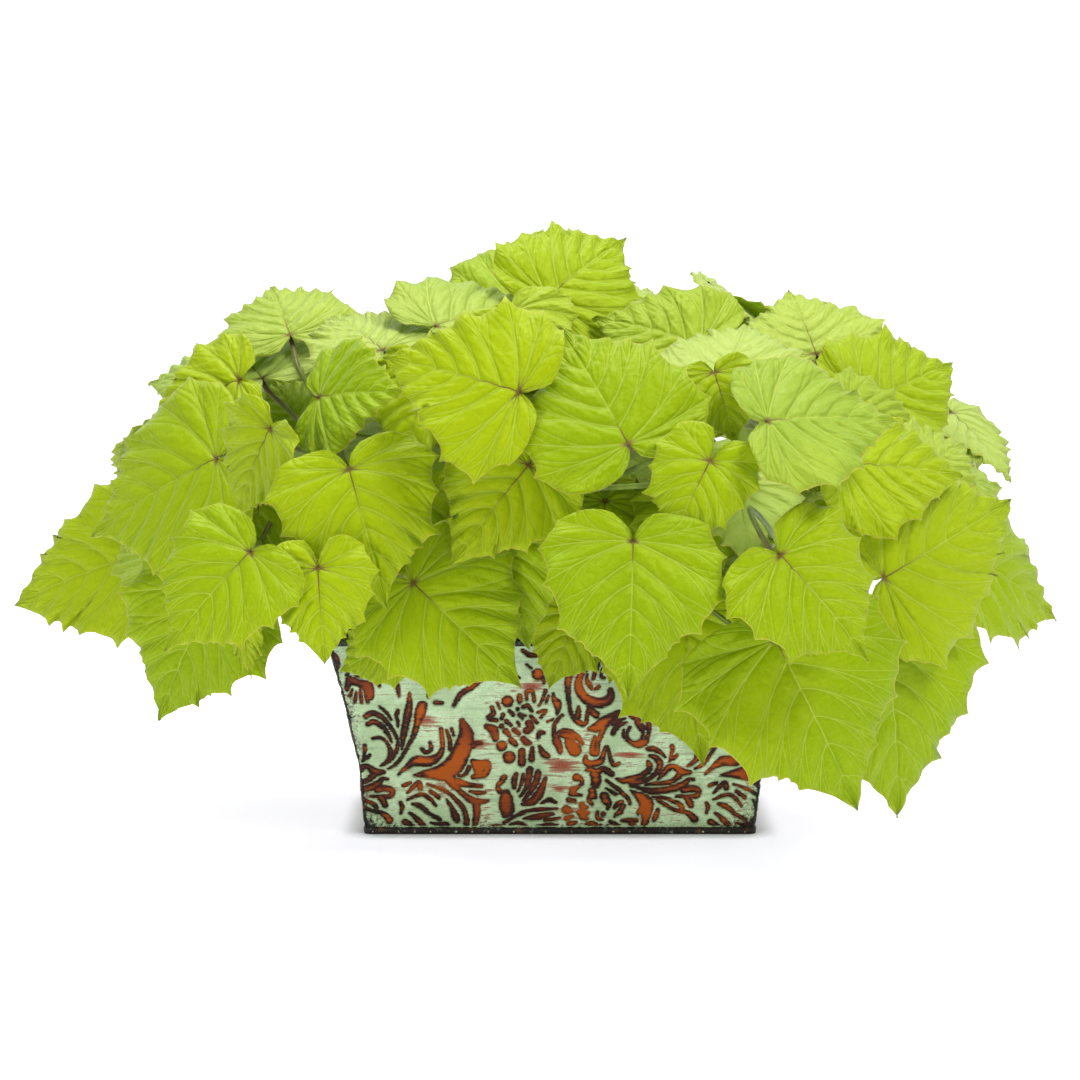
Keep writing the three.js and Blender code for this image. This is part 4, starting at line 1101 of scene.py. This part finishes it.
def studs(name):
    """Small domed rivet heads along the hem."""
    points, faces = [], []
    ring = np.arange(STUD["sides"]) * 2 * np.pi / STUD["sides"]
    for turn, *_ in WALLS.values():
        half, reach = (PLANTER["half_depth"], PLANTER["half_width"])[:: 1 if turn % 180 else -1]
        count = round(2 * half / STUD["apart"])
        for k in range(count):
            x = ((k + 0.5 + 0.25 * jitter(turn + k, 3)) * 2 / count - 1) * half
            rings = []
            for out, share in STUD["dome"]:
                radius = share * STUD["radius"] * (1 + 0.25 * jitter(turn + k, 4))
                front = 0 * ring - reach - HEM["proud"] - out
                rings.append(np.stack([x + radius * np.cos(ring), front, STUD["height"] + radius * np.sin(ring)], 1))
            rings = np.array(rings)
            back, middle, top = np.arange(rings.size // 3).reshape(3, -1) + rings.size // 3 * len(points)
            points.append(turned(rings.reshape(-1, 3), turn))
            faces += band(back, middle).tolist() + band(middle, top).tolist() + [back[::-1].tolist(), top.tolist()]
    return new_piece(name, np.concatenate(points), faces)


def flat_plate(name, low, high, inset):
    """Plain plate that fills the planter's outline between two heights."""
    rings = []
    for height in (low, high):
        half = half_outline(height) - inset
        rings += [(sx * half[0], sy * half[1], height) for sx, sy in ((-1, -1), (1, -1), (1, 1), (-1, 1))]
    faces = [(3, 2, 1, 0), (4, 5, 6, 7)] + band(np.arange(4), np.arange(4, 8)).tolist()
    return new_piece(name, np.array(rings), faces, smooth=False)


def tin_look():
    look = Look("painted_embossed_tin")
    step, mix, noise, place = look.step, look.mix, look.noise, look.place()
    gap, wash, worn = look.value("gap"), look.value("wash"), look.value("worn")
    streak = noise(look.stretched(place, (26, 26, 420)), 1.0, 4, 0.65)
    brushed = noise(look.stretched(place, (110, 110, 900)), 1.0, 3, 0.7) - 0.5
    blotch, speck = noise(place, 45, 4, 0.6), noise(place, 900, 3, 0.6)
    uneven = blotch - 0.5
    # Ground: mint paint, brushed, with rust showing in level streaks, in scratches and where it is worn.
    mint = mix(step(blotch, 0.35, 0.68), linear(172, 198, 150), linear(206, 230, 186))
    mint = mix(step(streak, 0.48, 0.72) * 0.55, mint, linear(126, 146, 112))
    mint = mix(step(speck, 0.52, 0.7) * 0.4, mint, linear(108, 122, 92))
    bare = step(streak + uneven * 0.5 + worn * 0.32, 0.63, 0.75) * (worn * 0.5 + 0.5)
    ground = mix(bare, mint, mix(step(speck, 0.4, 0.6), linear(138, 62, 44), linear(164, 92, 66)))
    ground = mix(step(brushed + uneven * 0.9, 0.13, 0.2) * 0.75, ground, linear(132, 56, 42))
    # Hollows: rust, dark brown near their edges and so all over the narrow ones, partly dark paint and partly
    # painted shade in the recesses, with dry-brushed, feathered rims.
    edge = gap + brushed * 3.0
    into_hollow = ((streak - 0.5) * 7.0 + uneven * 11.0) - edge
    warm = mix(step(noise(place, 16, 2), 0.4, 0.58), linear(140, 58, 14), linear(204, 98, 4))
    # Dark brown near the hollows' edges and over the narrow ones: partly the tin's dark paint, partly painted shade
    # in the recesses.
    rust_and_painted_shade = mix(step(into_hollow, 0.3, 3.0), linear(66, 28, 9), warm)
    # Near-black where the dark wash is strong and at the hollows' very edges, partly painted shade in the recesses.
    hollow = mix(step(wash * 2.0 - into_hollow, 0.0, 2.2), rust_and_painted_shade, linear(26, 15, 8))
    colour = mix(step(edge, 0.45, -0.35), ground, hollow)
    # Painted shade: the mint darkened in a band just outside each hollow, where the emboss rounds down into it.
    colour = mix(step(edge, 1.3, 0.0) * 0.4, colour, linear(132, 112, 80), "MULTIPLY")
    # Dark wash in the corners and along the foot, broken up.
    stipple = speck * 1.2 + noise(place, 420, 2, 0.7) * 1.6
    dark = wash * 1.1 + (stipple - 1.45) + uneven * 1.2
    colour = mix(step(dark, 0.35, 1.15), colour, linear(30, 26, 18))
    height = streak * 0.5 + speck * 0.4 + step(gap, -1.0, 1.2) * 1.8
    bump = look.bump(height, 0.5, 0.0005)
    return look.finish(look.coat(colour, blotch * 0.25 + 0.42, Normal=bump, Specular_IOR_Level=0.2))


def edge_look():
    """Blackened tin with ochre and mint showing through, for the hem, the rim and the floor."""
    look = Look("blackened_tin")
    place = look.place()
    blotch, speck = look.noise(place, 120, 4, 0.6), look.noise(place, 1100, 3, 0.6)
    colour = look.mix(look.step(speck, 0.35, 0.7), linear(20, 17, 12), linear(44, 36, 22))
    colour = look.mix(look.step(blotch, 0.56, 0.7) * 0.55, colour, linear(120, 84, 28))
    colour = look.mix(look.step(blotch, 0.42, 0.34) * 0.4, colour, linear(120, 146, 118))
    return look.finish(look.coat(colour, 0.45, Metallic=0.3, Normal=look.bump(blotch, 0.4, 0.0005)))


def stud_look():
    look = Look("worn_studs")
    share = look.step(look.noise(look.place(), 300, 2), 0.4, 0.6)
    return look.finish(look.coat(look.mix(share, linear(120, 112, 78), linear(190, 198, 172)), 0.35, Metallic=0.4))


def soil_look():
    look = Look("potting_soil")
    place = look.place()
    crumb, bits = look.noise(place, 160, 4, 0.7), look.noise(place, 420, 1)
    colour = look.mix(look.step(crumb, 0.3, 0.7), linear(30, 20, 13), linear(74, 52, 34))
    colour = look.mix(look.step(bits, 0.72, 0.76), colour, linear(205, 200, 188))
    return look.finish(look.coat(colour, 0.95, Normal=look.bump(crumb, 0.8, 0.002)))


SOIL = dict(columns=150, rows=74, inset=1.6, sunk=0.4, levels=(90, 50, 1.6))  # mm
CRUMBS = [(0.9, 9, 31), (0.7, 2.6, 33), (0.5, 1.1, 35)]  # height and size in mm, seed


def soil_piece():
    """Crumbly soil that fills the planter, its top uneven, down to just over the floor."""
    columns, rows, inset = SOIL["columns"], SOIL["rows"], SOIL["inset"]
    half = half_outline(SOIL_TOP) - inset
    x, y = np.meshgrid(np.linspace(-1, 1, columns) * half[0], np.linspace(-1, 1, rows) * half[1], indexing="ij")
    crumbs = sum(high * lumps(x, y, size, seed) for high, size, seed in CRUMBS)
    crumbs *= ease(np.minimum(half[0] - np.abs(x), half[1] - np.abs(y)), 0, 4)
    points = [np.stack([x, y, SOIL_TOP - SOIL["sunk"] + crumbs], -1).reshape(-1, 3)]
    cells = np.arange(columns * rows).reshape(columns, rows)
    faces = quads(cells)[:, FLIP].tolist()
    border = np.concatenate([cells[:-1, 0], cells[-1, :-1], cells[:0:-1, -1], cells[0, :0:-1]])
    upper, lower = border, cells.size + np.arange(len(border))
    for height in SOIL["levels"]:
        share = (half_outline(height) - inset) / half
        points.append(points[0][border] * [*share, 0] + [0, 0, height])
        faces += band(upper, lower)[:, FLIP].tolist()
        upper, lower = lower, lower + len(border)
    faces.append(upper[::-1].tolist())
    return new_piece("crumbly_soil", np.concatenate(points), faces)


TIN, EDGE = tin_look(), edge_look()
planter_pieces = [wall(f"planter_{side}", *facts) for side, facts in WALLS.items()]
for piece in planter_pieces:
    piece.data.materials.append(TIN)
hem_profile = [(0, -1.2), (0, 0.3), (0.5, 0.9), (3.9, 0.9), (4.6, 0.5), (5.2, -0.3), (5.2, -1.2)]
rim_profile = [(138 + 2 * math.sin(a), 0.1 + 1.5 * math.cos(a)) for a in np.radians(np.arange(-90, 270, 30))]
edges = [swept("planter_hem", hem_profile), swept("planter_rim", rim_profile)]
edges.append(flat_plate("planter_floor", 0, 1.2, 0.6))
for piece in edges:
    piece.data.materials.append(EDGE)
edges.append(studs("hem_studs"))
edges[-1].data.materials.append(stud_look())
for piece in planter_pieces + edges:
    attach(piece, "root")
    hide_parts("tin_planter")
soil = soil_piece()
soil.data.materials.append(soil_look())
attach(soil, "root")
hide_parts("potting_soil")


# ---------------- floor, lights and camera
SOFT_BOX = dict(toward=(0.15, 0.8, 1), range=(-0.4, 0.95), power=(0.07, 0.95))
BACKDROP = 1.2  # how bright the room looks to the camera
FLOOR = dict(sides=96, radii=(400, 1000, 2500, 8000))  # mm


def studio_world():
    """White room whose light comes mostly from above and behind, as from a wide soft box."""
    look = Look("studio", bpy.data.worlds)
    sides = {0: look.node("TexCoord", {}, "Generated"), 1: unit(np.array(SOFT_BOX["toward"]))}
    toward = look.node("VectorMath", sides, "Value", operation="DOT_PRODUCT")
    limits = dict(enumerate(SOFT_BOX["range"] + SOFT_BOX["power"], 1))
    power = look.node("MapRange", {0: toward, **limits}, interpolation_type="SMOOTHSTEP")
    shown = look.node("Mix", {0: look.node("LightPath", {}, "Is Camera Ray"), 2: power, 3: BACKDROP})
    return look.finish(look.node("Background", {"Color": (1, 1, 1, 1), "Strength": shown}), "OutputWorld")


bpy.context.scene.world = studio_world()
bpy.context.scene.view_settings.view_transform = "Standard"

around = np.linspace(0, 2 * np.pi, FLOOR["sides"] + 1)[:-1]
floor_points = [np.array([[0, 0, 0]])]
for radius in FLOOR["radii"]:
    floor_points.append(np.stack([radius * np.cos(around), radius * np.sin(around), 0 * around], 1))
rings = 1 + np.arange(len(FLOOR["radii"]) * FLOOR["sides"]).reshape(-1, FLOOR["sides"])
floor_faces = band(0 * rings[0], rings[0])[:, [0, 3, 2]].tolist()
for inner, outer in zip(rings[:-1], rings[1:]):
    floor_faces += band(inner, outer)[:, FLIP].tolist()
floor = new_piece("studio_floor", np.concatenate(floor_points), floor_faces)
paper = Look("white_paper")
tone = paper.mix(paper.noise(paper.place(), 3, 3), (0.7, 0.68, 0.78, 1), (0.73, 0.71, 0.81, 1))
# The floor glows by emission, dimmed by ambient occlusion close to the planter and leaves: a painted contact shadow.
open_air = paper.node("AmbientOcclusion", {"Distance": 0.02}, "AO", samples=4)
lift = paper.math("POWER", open_air, 2.5) * 0.73
paper_coat = paper.coat(tone, 0.9, Emission_Color=(0.92, 0.9, 1, 1), Emission_Strength=lift)
floor.data.materials.append(paper.finish(paper_coat))


def add_light(name, place, target, size, power):
    light = bpy.data.lights.new(name, "AREA")
    light.shape = "DISK"
    light.size = size
    light.energy = power
    lamp = bpy.data.objects.new(name, light)
    lamp.location = place
    bpy.context.scene.collection.objects.link(lamp)
    away = Vector(place) - Vector(target)
    lamp.rotation_euler = away.to_track_quat("Z", "Y").to_euler()


add_light("key", (1.3, -1.3, 2.3), (0, 0, 0.2), 0.9, 44)
add_light("low", (-1.4, -1.9, 0.55), (-0.1, 0, 0.2), 0.6, 12)
add_light("top", (-0.2, 0.3, 2.3), (0, 0, 0.25), 1.1, 32)

PHOTO_WIDTH, SENSOR_WIDTH = 1080, 36
camera = bpy.data.cameras.new("camera")
camera.sensor_width = SENSOR_WIDTH
camera.lens = SENSOR_WIDTH * VIEW["distance"] / (PHOTO_WIDTH * VIEW["step"])
camera.clip_end = 100
viewer = bpy.data.objects.new("camera", camera)
viewer.location = EYE * MM
viewer.rotation_euler = (math.radians(90 - VIEW["elevation"]), 0, 0)
bpy.context.scene.collection.objects.link(viewer)
bpy.context.scene.camera = viewer
